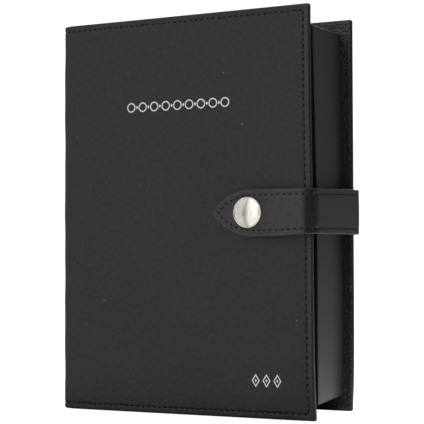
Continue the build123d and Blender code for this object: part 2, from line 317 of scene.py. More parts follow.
def foil_material(name):
    m = Nodes(name)
    c = m.coords(True)
    g = m.noise(c, 3.2, 4.0, 0.7)
    col = m.ramp(g, [(0.28, (0.72, 0.73, 0.74)), (0.5, (0.9, 0.91, 0.92))])
    m.set(Base_Color=col, Roughness=m.ramp(g, [(0.3, 0.32), (0.7, 0.5)]), Normal=m.bump(g, 0.00002, 0.5))
    m.bsdf.inputs["Metallic"].default_value = 0.25
    m.bsdf.inputs["Specular IOR Level"].default_value = 0.6
    m.bsdf.inputs["Emission Color"].default_value = (1, 1, 1, 1)
    m.bsdf.inputs["Emission Strength"].default_value = 0.0
    return m.mat


def raw_edge(name, dark, light):
    """The cut edge of leather: felted fibre, paler than the face."""
    m = Nodes(name)
    c = m.coords(True)
    fib = m.noise(c, 3.0, 5.0, 0.75, 1.2)
    band = m.noise(c, 0.7, 3.0)
    col = m.ramp(m.math("ADD", m.math("MULTIPLY", fib, 0.6), m.math("MULTIPLY", band, 0.4)), [(0.32, dark), (0.7, light)])
    m.set(Base_Color=col, Roughness=0.88, Normal=m.bump(fib, 0.00012, 0.9))
    m.bsdf.inputs["Specular IOR Level"].default_value = 0.15
    m.bsdf.inputs["Sheen Weight"].default_value = 0.25
    return m.mat


# the covers' wear strength also sets how strong the painted highlight and painted light on the fore-edge are
M_COVER = leather("cover_leather", 0.0056, 0.0140, 0.46, 0.52, cell=0.8, grain=0.15, wear_and_painted_light=0.26, dust=0.8, tint=(0.95, 1.0, 1.10), gloss=(0.93, 0.98, 1.0))
M_LINING = leather("lining_leather", 0.032, 0.054, 0.36, 0.5, cell=0.5, grain=0.08, pebble=(1.4, 0.35), tint=(1.0, 1.0, 1.02))
M_STRAP = leather("strap_leather", 0.0064, 0.0132, 0.36, 0.64, cell=0.9, grain=0.095, wear_and_painted_light=0.65, dust=0.3)
M_STRAP_LINING = leather("strap_lining_leather", 0.016, 0.028, 0.7, 0.25, cell=0.5, grain=0.05, wear_and_painted_light=0.3)
M_WRAP = leatherette("leatherette", 0.039, 0.0475)
M_VELVET = velvet("velvet", (0.010, 0.010, 0.011), (0.028, 0.028, 0.030), 0.75)
M_THREAD = thread_material("thread", 0.0035)
M_CAP = metal("snap_cap_metal", (0.86, 0.82, 0.75), 0.17)
M_SNAP = metal("snap_metal", (0.66, 0.65, 0.63), 0.3)
M_BOARD = board_material("greyboard", (0.30, 0.28, 0.25))
M_FOAM = board_material("foam", (0.12, 0.12, 0.12))
M_FOIL = foil_material("silver_foil")
M_RAW = raw_edge("raw_edge", 0.035, 0.095)


# ------------------------------------------------------------------------------------------------ mesh code
def link(ob):
    scene.collection.objects.link(ob)
    return ob


def make(name, verts, faces, mat, uv=None, sharp=38.0, merge=0.0015, attrs=None, mats=None, face_mat=None):
    """A mesh object from points in drawing millimetres. Points closer than merge are joined."""
    me = bpy.data.meshes.new(name)
    me.from_pydata(place(verts).tolist(), [], [tuple(int(i) for i in f) for f in faces])
    loops = np.zeros(len(me.loops), np.int32)
    me.loops.foreach_get("vertex_index", loops)
    layer = me.uv_layers.new(name="UVMap")
    uvs = np.asarray(uv, float).reshape(-1, 2) / 100.0 if uv is not None else np.asarray(verts, float).reshape(-1, 3)[:, [0, 2]] / 100.0
    layer.data.foreach_set("uv", uvs[loops].astype(np.float32).ravel())
    for key, values in (attrs or {}).items():
        a = me.attributes.new(key, "FLOAT", "POINT")
        a.data.foreach_set("value", np.asarray(values, np.float32).ravel())
    if face_mat is not None:
        me.polygons.foreach_set("material_index", np.asarray(face_mat, np.int32))
    bm = bmesh.new()
    bm.from_mesh(me)
    if merge:
        bmesh.ops.remove_doubles(bm, verts=bm.verts, dist=merge / 1000.0)
        bmesh.ops.dissolve_degenerate(bm, edges=bm.edges, dist=1e-7)
    bmesh.ops.recalc_face_normals(bm, faces=bm.faces)
    bm.to_mesh(me)
    bm.free()
    me.polygons.foreach_set("use_smooth", [True] * len(me.polygons))
    me.set_sharp_from_angle(angle=math.radians(sharp))
    ob = link(bpy.data.objects.new(name, me))
    for x in mats or [mat]:
        me.materials.append(x)
    return ob


def quads(n, m, off=0, flip=False):
    i, j = np.meshgrid(np.arange(n - 1), np.arange(m - 1), indexing="ij")
    a = (off + i * m + j).ravel()
    f = np.stack([a, a + 1, a + m + 1, a + m], 1)
    return f[:, ::-1] if flip else f


def spaced(*spans):
    """Numbers along spans of (start, end, step), each number once."""
    out = []
    for a, b, s in spans:
        k = max(1, int(round((b - a) / s)))
        out += [a + (b - a) * i / k for i in range(k + 1)]
    return sorted(set(round(x, 5) for x in out))


def edge_profile(R, D, r_in, w, n=5):
    """A turned edge as (t, o, d): the way along it, how far out from the outline, and how deep. It starts at the flat face."""
    rows = []
    for k in range(n + 1):
        th = math.pi / 2 * k / n
        rows.append((-R + R * th, -R + R * math.sin(th), R - R * math.cos(th)))
    t = -R + R * math.pi / 2
    side = D - R - r_in
    for k in range(1, 3):
        rows.append((t + side * k / 2, 0.0, R + side * k / 2))
    t += side
    for k in range(1, 4):
        th = math.pi / 2 * k / 3
        rows.append((t + r_in * th, -r_in * (1 - math.cos(th)), D - r_in + r_in * math.sin(th)))
    t += r_in * math.pi / 2
    if w > r_in + 1e-6:
        rows.append((t + w - r_in, -w, D))
    return rows


class Line:
    __slots__ = ("s", "t", "o", "d", "oi", "di", "c", "ci", "u")

    def __init__(self, s, t, o, d, oi, di, c, ci, u):
        self.s, self.t, self.o, self.d, self.oi, self.di, self.c, self.ci, self.u = s, t, o, d, oi, di, c, ci, u


def axis_lines(flat, lo, hi, lo_edge, hi_edge, profile, Rc, w, d_in):
    """The grid lines across one axis of a sheet: flat values between lo and hi, and the turned edge at each end that has one.
    oi and di are where the same line lies on the sheet's inner side."""
    R = -profile[0][0]
    out = []
    D = profile[-1][2]
    if lo_edge:
        for k, (t, o, d) in enumerate(reversed(profile)):
            last = k == 0
            out.append(Line(-1, t, o, d, -w, D if last else d_in, lo - o, lo + w, lo - t))
    for c in flat:
        s, t, o = 0, 0.0, 0.0
        if hi_edge and c - hi > -Rc:
            s, t, o = 1, c - hi, c - hi
        elif lo_edge and lo - c > -Rc:
            s, t, o = -1, lo - c, lo - c
        if hi_edge and c > hi - R - 1e-6 or lo_edge and c < lo + R + 1e-6:
            continue
        oi = min(o, -w) if s else 0.0
        ci = c
        if hi_edge:
            ci = min(ci, hi - w)
        if lo_edge:
            ci = max(ci, lo + w)
        out.append(Line(s, t, o, 0.0, oi, d_in, c, ci, c))
    if hi_edge:
        for k, (t, o, d) in enumerate(profile):
            last = k == len(profile) - 1
            out.append(Line(1, t, o, d, -w, D if last else d_in, hi + o, hi - w, hi + t))
    return out


def sheet_grid(la, lb, a_lo, a_hi, b_lo, b_hi, Rc, inner=False):
    """(U, V, depth) arrays of one side of the sheet, with round corners where two turned edges meet."""
    n, m = len(la), len(lb)
    U, V, D = np.zeros((n, m)), np.zeros((n, m)), np.zeros((n, m))
    for i, a in enumerate(la):
        for j, b in enumerate(lb):
            if a.s and b.s:
                A, B = a.t + Rc, b.t + Rc
                big = a if A >= B else b
                if max(A, B) < 1e-9:
                    th = math.pi / 4
                elif A >= B:
                    th = math.pi / 4 * (B / A)
                else:
                    th = math.pi / 2 - math.pi / 4 * (A / B)
                o = big.oi if inner else big.o
                rho, back_off = max(0.0, Rc + o), max(Rc, -o)
                ca = (a_hi - back_off) if a.s > 0 else (a_lo + back_off)
                cb = (b_hi - back_off) if b.s > 0 else (b_lo + back_off)
                U[i, j] = ca + a.s * rho * math.cos(th)
                V[i, j] = cb + b.s * rho * math.sin(th)
                D[i, j] = max(a.di, b.di) if inner else big.d
            else:
                U[i, j] = a.ci if inner else a.c
                V[i, j] = b.ci if inner else b.c
                D[i, j] = max(a.di, b.di) if inner else max(a.d, b.d)
    return U, V, D


def closed_sheet(name, la, lb, box, Rc, shape, mat, mats=None, pick=None, relief=None, wear_and_painted_light=None, caps=(False, False), sharp=38.0):
    """A closed sheet: outer side, turned edges, inner side, and a cap where it is cut. shape(U, V, D) gives x, y, z in the drawing."""
    a_lo, a_hi, b_lo, b_hi = box
    n, m = len(la), len(lb)
    Uo, Vo, Do = sheet_grid(la, lb, a_lo, a_hi, b_lo, b_hi, Rc)
    Ui, Vi, Di = sheet_grid(la, lb, a_lo, a_hi, b_lo, b_hi, Rc, inner=True)
    if relief is not None:
        Do = Do + relief(Uo, Vo, Do)
    Po, Pi = shape(Uo, Vo, Do), shape(Ui, Vi, Di)
    verts = np.concatenate([np.stack(Po, -1).reshape(-1, 3), np.stack(Pi, -1).reshape(-1, 3)])
    uo = np.array([[x.u for _ in lb] for x in la])
    vo = np.array([[y.u for y in lb] for _ in la])
    uv = np.concatenate([np.stack([uo, vo], -1).reshape(-1, 2), np.stack([uo + 37.0, vo + 11.0], -1).reshape(-1, 2)])
    faces = [quads(n, m), quads(n, m, n * m, True)]
    for end, row in ((0, 0), (1, n - 1)):
        if caps[end]:
            j = np.arange(m - 1)
            a = row * m + j
            f = np.stack([a, a + 1, n * m + a + 1, n * m + a], 1)
            faces.append(f if end else f[:, ::-1])
    faces = np.concatenate(faces)
    w = np.zeros(len(verts))
    if wear_and_painted_light is not None:
        w[: n * m] = wear_and_painted_light(Uo, Vo, Do).ravel()
    face_mat = None
    if pick is not None:
        UVD = np.concatenate([np.stack([Uo, Vo, Do], -1).reshape(-1, 3), np.stack([Ui, Vi, Di], -1).reshape(-1, 3)])
        centre = UVD[faces].mean(1)
        inner = (faces >= n * m).all(1)
        face_mat = pick(centre, inner)
    return make(name, verts, faces, mat, uv=uv, attrs={"wear_and_painted_light": w}, mats=mats, face_mat=face_mat, sharp=sharp)


# ------------------------------------------------------------------------------------------------ the covers' leather
STITCH_IN, PITCH = 3.1, 3.17
JOINT_R = 1.05
EDGE = 0.8
ARC = math.pi / 2 * JOINT_R
A_MID = JOINT_R - ARC - (T / 2 - JOINT_R)


def lerp_table(x, table):
    xs, ys = zip(*table)
    return np.interp(x, xs, ys)


def spring(x, z):
    """How the front cover stands off true along its fore-edge: its top corner is sprung open and its bottom corner pressed in."""
    f = np.clip(x / W, 0, 1) ** 1.6
    dy = lerp_table(z, [(0, 1.2), (5, 1.15), (12, 1.05), (20, 0.95), (34, 0.6), (58, 0.2), (82, 0.08), (115, -0.75), (153, -1.85), (183, -2.3), (200, -2.2)])
    g = np.clip((x - 110) / 30, 0, 1) ** 2
    dx = lerp_table(z, [(0, 0.75), (5, 0.6), (12, 0.3), (22, 0.0), (200, 0.0)]) * g
    return dx, dy * f


def lean(x, z):
    """The back cover's fore-edge runs a little out of true: it stands in at the foot."""
    return -lerp_table(z, [(0, 0.55), (5, 0.35), (12, 0.0), (25, -0.25), (50, -0.35), (200, -0.4)]) * np.clip(x / W, 0, 1) ** 3


def undulate(u, v, k=1.0, seed=0.0):
    f = np.vectorize(lambda a, b: noise.noise(Vector((a / 31.0 + seed, b / 37.0, seed))) + 0.35 * noise.noise(Vector((a / 11.0, b / 12.0 + seed, 3.0))))
    return 0.09 * k * f(u, v)


def stitch_distance(u, v):
    """Distance from the stitch line that runs along the top, the fore-edge and the bottom of a cover and over the spine."""
    xs, z0, z1 = W - STITCH_IN, STITCH_IN, H - STITCH_IN
    d = np.minimum(np.hypot(np.maximum(u - xs, 0), v - z0), np.hypot(np.maximum(u - xs, 0), v - z1))
    return np.minimum(d, np.hypot(u - xs, np.maximum(np.maximum(z0 - v, v - z1), 0)))


def cover_relief(u, v, d):
    s = stitch_distance(u, v)
    flat = np.clip(1 - d / 0.25, 0, 1)
    inside = np.clip((W - u) / 3.0, 0, 1) * np.clip(np.minimum(v, H - v) / 3.0, 0, 1)
    groove = 0.22 * np.exp(-((s / 0.42) ** 2)) + 0.06 * np.exp(-((s / 1.2) ** 2))
    fall = 0.30 * np.clip(1 - (W - u) / 2.6, 0, 1) ** 1.3 + 0.05 * np.clip(1 - np.minimum(v, H - v) / 2.5, 0, 1) ** 1.4
    swell = -0.28 * np.exp(-(((u - (JOINT_R - ARC / 2)) / 1.5) ** 2)) * (1 + 0.5 * np.sin(v / 13.0) * np.sin(v / 5.3 + 1.0))
    return swell * flat + np.clip(1 - d / 0.8, 0, 1) * fall + flat * ( groove * np.clip(np.minimum(np.minimum(v, H - v), W - u) / 1.0, 0, 1) + undulate(u, v) * (0.35 + 0.65 * inside))


def joint_depth(u):
    """How deep the turned edge goes: the board's thickness on a panel, the leather's own at a joint."""
    x = np.where(u >= JOINT_R, u, 0) + np.where(u <= JOINT_R - ARC, JOINT_R + (JOINT_R - ARC - u), 0)
    x = np.where((u < JOINT_R) & (u > JOINT_R - ARC), JOINT_R, x)
    return np.clip(x - 1.5, 0.8, 2.5)


def cover_shape(back):
    def shape(U, V, D):
        R0 = EDGE
        JD = joint_depth(U)
        D = np.where(D > R0, R0 + (D - R0) * (JD - R0) / (2.5 - R0), D)
        D = np.where((D > 0.79) & (JD < 0.81), np.minimum(D, 0.8), D)
        dip = 0.28 * np.exp(-(((U - (JOINT_R - ARC / 2)) / 2.6) ** 2))
        V = H / 2 + (V - H / 2) * (1 - dip / (H / 2))
        phi = np.clip((JOINT_R - U) / JOINT_R, 0, math.pi / 2)
        rr = JOINT_R - D
        X = np.where(U >= JOINT_R, U, np.where(U > JOINT_R - ARC, JOINT_R - rr * np.sin(phi), D))
        Y = np.where(U >= JOINT_R, D, np.where(U > JOINT_R - ARC, JOINT_R - rr * np.cos(phi), JOINT_R + (JOINT_R - ARC - U)))
        if back:
            return X + lean(X, V), T - Y, V
        dx, dy = spring(X, V)
        return X + dx, Y + dy, V

    return shape


prof = edge_profile(EDGE, 2.5, 0.16, 0.8)
stitch_dense = [(W - STITCH_IN - 1.5, W - STITCH_IN + 1.5, 0.2)]
a_flat = spaced((A_MID, -3.2, 3.0), (-3.2, 4.2, 0.2), (4.2, 132.0, 3.0), (132.0, 135.8, 0.8), *stitch_dense, (138.8, 140.0, 0.3))
b_flat = spaced((0.4, 1.6, 0.3), (1.6, 4.6, 0.2), (4.6, 8.0, 0.9), (8.0, 192.0, 3.0), (192.0, 195.4, 0.9), (195.4, 198.4, 0.2), (198.4, 199.6, 0.3))


# rubbed edges, corners and spine joint, plus a painted highlight along the fore-edge margin and painted light at the
# foot of the fore-edge
def cover_wear_and_painted_light(u, v, d):
    e = np.minimum(np.minimum(v, H - v), W - u)
    rub = np.exp(-((e / 0.5) ** 2)) * np.where(d < 1.2, 1.0, 0.1)
    corner = np.exp(-((W - u) ** 2 + np.minimum(v, H - v) ** 2) / 16.0)
    spine_edge = np.exp(-(((u - (JOINT_R - ARC / 2)) / 1.6) ** 2)) * 0.8
    # painted highlight: the margin between the stitch line and the fore-edge is made paler, for the light that the
    # turning edge catches
    painted_margin_highlight = 1.0 * np.clip((u - (W - STITCH_IN + 0.5)) / 0.4, 0, 1) * np.clip((W - 0.35 - u) / 0.5, 0, 1)
    # painted light: the foot of the fore-edge is made paler, for the floor's light that falls on that corner
    foot = 0.9 * np.exp(-((W - u) ** 2 + v**2) / 110.0) * np.clip(1 - d / 0.8, 0, 1)
    return np.clip(rub * 0.5 + corner * 0.6 + spine_edge + painted_margin_highlight + foot, 0, 1)


def build_cover_leather(name, back):
    la = axis_lines(a_flat, A_MID, W, False, True, prof, 0.95, 0.8, 0.8)
    lb = axis_lines(b_flat, 0.0, H, True, True, prof, 0.95, 0.8, 0.8)
    ob = closed_sheet(name, la, lb, (A_MID, W, 0.0, H), 0.95, cover_shape(back), M_COVER, relief=cover_relief, wear_and_painted_light=cover_wear_and_painted_light, caps=(True, False))
    if back:
        # the two halves are one hide, so the grain doesn't repeat
        layer = ob.data.uv_layers["UVMap"]
        uv = np.zeros(2 * len(ob.data.loops), np.float32)
        layer.data.foreach_get("uv", uv)
        layer.data.foreach_set("uv", uv + np.float32(3.7))
    return ob


front_leather = build_cover_leather("front_case_leather", False)
back_leather = build_cover_leather("back_case_leather", True)
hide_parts("front_cover_leather", "front_joint_leather", "spine_leather")
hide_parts("back_cover_leather", "back_joint_leather", "spine_leather")
FRONT_BEND = dict(start=spot(0.0, 1.5, 100), end=spot(1.5, 0.0, 100))
BACK_BEND = dict(start=spot(1.5, T, 100), end=spot(0.0, T - 1.5, 100))
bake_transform(front_leather)
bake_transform(back_leather)


# ------------------------------------------------------------------------------------------------ stitches
def stitch_mesh(centres, along, normal, length, rad, lift, seed):
    """One mesh of separate stitches. Each is a short twisted strand that rises out of its hole and goes back in. normal points out."""
    r = random.Random(seed)
    V, F, UV = [], [], []
    ns, nc = 9, 7
    for k, (c, a, nrm) in enumerate(zip(centres, along, normal)):
        c, a, nrm = Vector(c), Vector(a).normalized(), Vector(nrm).normalized()
        side = a.cross(nrm)
        tilt = r.uniform(-0.16, 0.16) + 0.1
        a2 = (a * math.cos(tilt) + side * math.sin(tilt)).normalized()
        s2 = a2.cross(nrm)
        L = length * r.uniform(0.78, 1.1)
        shift = a * r.uniform(-0.1, 0.1) + side * r.uniform(-0.05, 0.05)
        base = len(V)
        for i in range(ns):
            t = i / (ns - 1) * 2 - 1
            h = lift * (1 - t**4) - (abs(t) ** 6) * 0.55
            w = rad * (0.72 + 0.28 * (1 - t * t)) * (0.35 if i in (0, ns - 1) else 1.0)
            p = c + shift + a2 * (t * L / 2) + nrm * h
            for q in range(nc):
                th = 2 * math.pi * q / nc + t * 2.2
                lobe = 1.0 + 0.12 * math.cos(2 * th)
                V.append(p + s2 * (math.cos(th) * w * lobe) + nrm * (math.sin(th) * w * 0.8 * lobe))
                UV.append((t * L / 2 + k * 3.0, q / nc * 2.0))
        for i in range(ns - 1):
            for q in range(nc):
                b0, b1 = base + i * nc + q, base + i * nc + (q + 1) % nc
                F.append((b0, b1, b1 + nc, b0 + nc))
        for i in (0, ns - 1):
            ring = [base + i * nc + q for q in range(nc)]
            F.append(tuple(ring[::-1] if i == 0 else ring))
    return V, F, UV


def make_loose(name, V, F, UV, mat):
    return make(name, np.array([list(v) for v in V]), F, mat, uv=UV, merge=0.0, sharp=60.0)


def cover_stitches(name, back):
    f = cover_shape(back)
    centres, along, normal = [], [], []

    def put(u, v, du, dv):
        def at(a, b, d=0.22):
            x, y, z = f(np.array([[a]]), np.array([[b]]), np.array([[d]]))
            return Vector((float(x[0, 0]), float(y[0, 0]), float(z[0, 0])))

        dip = float(cover_relief(np.array([[u]]), np.array([[v]]), np.array([[0.0]]))[0, 0])
        p, q = at(u, v, dip), at(u + du * 0.5, v + dv * 0.5, dip)
        out = at(u, v, -1.0) - at(u, v, 0.0)
        centres.append(p)
        along.append(q - p)
        normal.append(out)

    xs = W - STITCH_IN
    n = int((H - 2 * STITCH_IN) / PITCH + 0.5)
    step = (H - 2 * STITCH_IN) / n
    for k in range(n):
        put(xs, STITCH_IN + step * (k + 0.5), 0, 1)
    u = xs - PITCH / 2
    # the front cover's thread runs one stitch further, to close the row in the middle of the spine
    while u > A_MID + (0.6 if back else -1.0):
        put(u, STITCH_IN, 1, 0)
        put(u, H - STITCH_IN, 1, 0)
        u -= PITCH
    ob = make_loose(name, *stitch_mesh(centres, along, normal, 1.8, 0.35, 0.02, 5 if back else 4), M_THREAD)
    return ob


front_stitches = cover_stitches("front_case_stitches", False)
back_stitches = cover_stitches("back_case_stitches", True)
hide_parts("front_cover_stitching", "spine_stitching")
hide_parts("back_cover_stitching", "spine_stitching")
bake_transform(front_stitches)
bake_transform(back_stitches)


# ------------------------------------------------------------------------------------------------ inner leather on the three boards
def pebble(u, v, k=1.0, size_mm=1.5, seed=0.0):
    def f(a, b):
        d = noise.voronoi(Vector((a / size_mm, b / size_mm, seed)), distance_metric="DISTANCE")[0]
        return min(1.0, d[1] - d[0])

    return -0.26 * k * np.vectorize(f)(u, v)


def lining(name, body, node, u0, u1, shape, fine_u=(), fine_v=(), wear_edge=0.5, pressed=False):
    pr = edge_profile(0.28, 0.5, 0.05, 0.05, n=4)
    us = spaced((u0, u1, 3.0), *fine_u)
    vs = spaced((0.6, H - 0.6, 3.0), *fine_v)
    la = axis_lines(us, u0, u1, True, True, pr, 0.9, 0.05, 0.5)
    lb = axis_lines(vs, 0.6, H - 0.6, True, True, pr, 0.9, 0.05, 0.5)

    def relief(u, v, d):
        e = np.minimum(u1 - u, np.minimum(v - 0.6, H - 0.6 - v))
        keep = np.clip((e - 1.2) / 0.4, 0, 1) if pressed else 1.0
        ridge = 0.16 * np.exp(-(((e - 1.45) / 0.28) ** 2)) if pressed else 0.0
        return np.where(d < 0.3, (pebble(u, v) + 0.12) * keep - ridge, 0.0)

    def wear_and_painted_light(u, v, d):
        e = np.minimum(np.minimum(v - 0.6, H - 0.6 - v), np.minimum(u1 - u, u - u0))
        return np.exp(-((e / 0.6) ** 2)) * wear_edge

    ob = closed_sheet(name, la, lb, (u0, u1, 0.6, H - 0.6), 0.9, shape, M_LINING, relief=relief, wear_and_painted_light=wear_and_painted_light)
    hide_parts(node)
    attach(ob, body)
    return ob


def front_lining_shape(U, V, D):
    dx, dy = spring(U, V)
    return U + dx, 3.0 - D + dy, V


lining("front_inner_leather", "front_cover", "front_cover_lining", 3.15, W - 0.22, front_lining_shape, fine_u=((134.0, W - 0.6, 0.5),), fine_v=((0.6, 9.0, 0.6), (191.0, H - 0.6, 0.6)))
lining("back_inner_leather", "box", "back_cover_lining", 3.15, W - 0.35, lambda U, V, D: (U + lean(U, V), T - 3.0 + D, V), fine_u=((118.0, 135.8, 0.8), (135.8, W - 0.6, 0.3)), fine_v=((0.6, H - 0.6, 0.5),), pressed=True)
lining("spine_inner_leather", "spine", "spine_lining", 3.2, T - 3.2, lambda U, V, D: (3.0 - D, U, V))


def end_wrap(name, body, corners):
    """The inner leather where it turns down over a board's edge at a joint, as a thin closed strip."""
    (x0, y0), (x1, y1) = corners
    zs = spaced((0.65, H - 0.65, 12.0))
    V, F = [], []
    for z in zs:
        for x, y in ((x0, y0), (x1, y0), (x1, y1), (x0, y1)):
            V.append((x, y, z))
    for i in range(len(zs) - 1):
        for q in range(4):
            a, b = 4 * i + q, 4 * i + (q + 1) % 4
            F.append((a, b, b + 4, a + 4))
    F.append((3, 2, 1, 0))
    F.append(tuple(4 * (len(zs) - 1) + q for q in range(4)))
    ob = make(name, np.array(V), F, M_LINING, uv=[(v[0] + v[1], v[2]) for v in V], attrs={"wear_and_painted_light": np.zeros(len(V))})
    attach(ob, body)


end_wrap("front_board_edge_turn", "front_cover", ((3.04, 0.85), (3.2, 2.75)))
end_wrap("back_board_edge_turn", "box", ((3.04, T - 2.75), (3.2, T - 0.85)))
end_wrap("spine_front_edge_turn", "spine", ((0.85, 3.04), (2.75, 3.24)))
end_wrap("spine_back_edge_turn", "spine", ((0.85, T - 3.24), (2.75, T - 3.04)))


# ------------------------------------------------------------------------------------------------ tray
TX0, TX1, TZ0, TZ1 = 4.0, W - 4.0, 7.0, H - 7.0
RIM_Y, BASE_Y = 15.2, T - 3.0


def ring_path(x0, x1, z0, z1, R, step=4.0, n=6):
    """Points round a rectangle with round corners: (x, z, outward x, outward z, way round)."""
    pts = []
    corners = [(x1 - R, z1 - R, 0), (x0 + R, z1 - R, 90), (x0 + R, z0 + R, 180), (x1 - R, z0 + R, 270)]
    for k, (cx, cz, a0) in enumerate(corners):
        for q in range(n + 1):
            th = math.radians(a0 + 90 * q / n)
            pts.append((cx + R * math.cos(th), cz + R * math.sin(th), math.cos(th), math.sin(th)))
        nx = corners[(k + 1) % 4]
        th = math.radians(a0 + 90)
        ax, az = cx + R * math.cos(th), cz + R * math.sin(th)
        bx, bz = nx[0] + R * math.cos(th), nx[1] + R * math.sin(th)
        m = max(1, int(math.hypot(bx - ax, bz - az) / step))
        for q in range(1, m):
            pts.append((ax + (bx - ax) * q / m, az + (bz - az) * q / m, math.cos(th), math.sin(th)))
    out, s = [], 0.0
    for k, p in enumerate(pts):
        if k:
            s += math.hypot(p[0] - pts[k - 1][0], p[1] - pts[k - 1][1])
        out.append((*p, s))
    return out


def ring_sweep(name, path, R, profile, mat, bend=None, wear_and_painted_light=None, sharp=38.0):
    """A closed band round the tray: profile is a closed loop of (inset from the outer outline, y)."""
    n, m = len(path), len(profile)
    V, UV, Wr = [], [], []
    for x, z, ox, oz, s in path:
        cx, cz = x - ox * R, z - oz * R
        for k, (ins, y) in enumerate(profile):
            diag = abs(ox * oz) > 1e-6
            rr = R - ins
            if rr < 0.25 and diag:
                # past the corner's own radius the inner corner is nearly square
                e = 0.25 - rr
                px = cx + ox * 0.25 - math.copysign(e, ox)
                pz = cz + oz * 0.25 - math.copysign(e, oz)
            elif rr < 0.25:
                e = 0.25 - rr
                px, pz = cx + ox * 0.25 - ox * e, cz + oz * 0.25 - oz * e
                # keep the straight runs clear of the square corner
                if abs(ox) < 0.5:
                    px = min(max(px, TX0 + ins + 0.25), TX1 - ins - 0.25)
                else:
                    pz = min(max(pz, TZ0 + ins + 0.25), TZ1 - ins - 0.25)
            else:
                px, pz = cx + ox * rr, cz + oz * rr
            if bend is not None:
                px, y2, pz = bend(px, y, pz, ins)
            else:
                y2 = y
            V.append((px, y2, pz))
            UV.append((s, y + ins))
            Wr.append(0.0 if wear_and_painted_light is None else wear_and_painted_light(ins, y))
    F = []
    for i in range(n):
        for k in range(m):
            a, b = i * m + k, i * m + (k + 1) % m
            c, d = ((i + 1) % n) * m + (k + 1) % m, ((i + 1) % n) * m + k
            F.append((a, b, c, d))
    return make(name, np.array(V), F, mat, uv=UV, attrs={"wear_and_painted_light": Wr}, sharp=sharp)


def tray_bend(x, y, z, ins):
    """The fore-edge wall isn't dead straight: its rim leans in at the top and bellies a little lower down, and its foot is drawn in."""
    g = max(0.0, min(1.0, (x - 118.0) / 18.0)) ** 2
    rim = float(lerp_table(z, [(7, 0.28), (34, 0.26), (58, 0.3), (82, 0.34), (115, 0.02), (153, -0.72), (182, -1.29), (193, -1.4)]))
    foot = float(lerp_table(z, [(7, -1.35), (20, -1.2), (34, -0.9), (58, -0.68), (82, -0.88), (115, -0.98), (153, -1.04), (182, -1.3), (193, -1.35)]))
    k = (y - RIM_Y) / (BASE_Y - RIM_Y)
    belly = 0.25 * math.sin(math.pi * min(1, max(0, k)))
    kk = min(1.0, max(0.0, k))
    sag = (1 - kk) * float(lerp_table(z, [(7, 1.15), (60, 0.9), (193, 0.5)])) + kk * float(lerp_table(z, [(7, -1.0), (60, -0.5), (120, 0.0), (193, 0.15)]))
    return x + g * (rim * (1 - k) + foot * k + belly * math.sin(math.pi * (z - 7) / 186.0)), y, z - sag


wrap_path = ring_path(TX0, TX1, TZ0, TZ1, 0.9, step=5.0)
ys = spaced((16.2, BASE_Y, 3.0))
wrap_profile = [(0.6, BASE_Y), (0.0, BASE_Y)] + [(0.0, y) for y in reversed(ys[:-1])] + [(0.04, 15.98), (0.16, 15.8), (0.36, 15.7), (0.6, 15.7)]
tray_wrap = ring_sweep("tray_leatherette", wrap_path, 0.9, wrap_profile, M_WRAP, bend=tray_bend, wear_and_painted_light=lambda ins, y: 0.0)
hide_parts("tray_wrap")
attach(tray_wrap, "box")

rim_profile = [(0.05, 15.72), (0.02, 15.5), (0.2, 15.27), (0.55, 15.2), (1.4, 15.16), (2.4, 15.18), (3.1, 15.28), (3.5, 15.6), (3.6, 16.1), (3.6, 22.0), (3.6, 30.0), (3.6, 48.9), (3.0, 48.9), (3.0, 15.72)]
rim = ring_sweep("tray_velvet_lining", wrap_path, 0.9, rim_profile, M_VELVET, bend=tray_bend)
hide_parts("tray_lining")
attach(rim, "box")


# ------------------------------------------------------------------------------------------------ boards
def board(name, body, nodes, lo, hi, bend, step=8.0, chamfer=0.12):
    """A cut board that follows the shape of what it stiffens: a closed form with slightly crushed edges."""
    axes = [spaced((a, b, min(step, b - a) if b - a > step else (b - a))) for a, b in zip(lo, hi)]
    bm = bmesh.new()
    cache = {}

    def at(i, j, k):
        p = [axes[0][i], axes[1][j], axes[2][k]]
        ends = [q in (0, len(axes[t]) - 1) for t, q in enumerate((i, j, k))]
        if sum(ends) >= 2:
            for t, q in enumerate((i, j, k)):
                if ends[t]:
                    p[t] += chamfer if q == 0 else -chamfer
        key = (i, j, k)
        if key not in cache:
            cache[key] = bm.verts.new(place(bend(*p))[0].tolist())
        return cache[key]

    na, nb, nc = (len(a) for a in axes)
    for k in (0, nc - 1):
        for i in range(na - 1):
            for j in range(nb - 1):
                bm.faces.new((at(i, j, k), at(i + 1, j, k), at(i + 1, j + 1, k), at(i, j + 1, k)))
    for j in (0, nb - 1):
        for i in range(na - 1):
            for k in range(nc - 1):
                bm.faces.new((at(i, j, k), at(i + 1, j, k), at(i + 1, j, k + 1), at(i, j, k + 1)))
    for i in (0, na - 1):
        for j in range(nb - 1):
            for k in range(nc - 1):
                bm.faces.new((at(i, j, k), at(i, j + 1, k), at(i, j + 1, k + 1), at(i, j, k + 1)))
    bmesh.ops.recalc_face_normals(bm, faces=bm.faces)
    me = bpy.data.meshes.new(name)
    bm.to_mesh(me)
    bm.free()
    me.polygons.foreach_set("use_smooth", [True] * len(me.polygons))
    me.set_sharp_from_angle(angle=math.radians(30))
    me.materials.append(M_BOARD)
    ob = link(bpy.data.objects.new(name, me))
    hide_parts(*nodes)
    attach(ob, body)
    return ob


def spring_point(x, y, z):
    dx, dy = spring(np.array(x), np.array(z))
    return x + float(dx), y + float(dy), z


def lean_point(x, y, z):
    return x + float(lean(np.array(x), np.array(z))), y, z


def bent_wall(x, y, z):
    return tray_bend(x, y, z, 0.6)


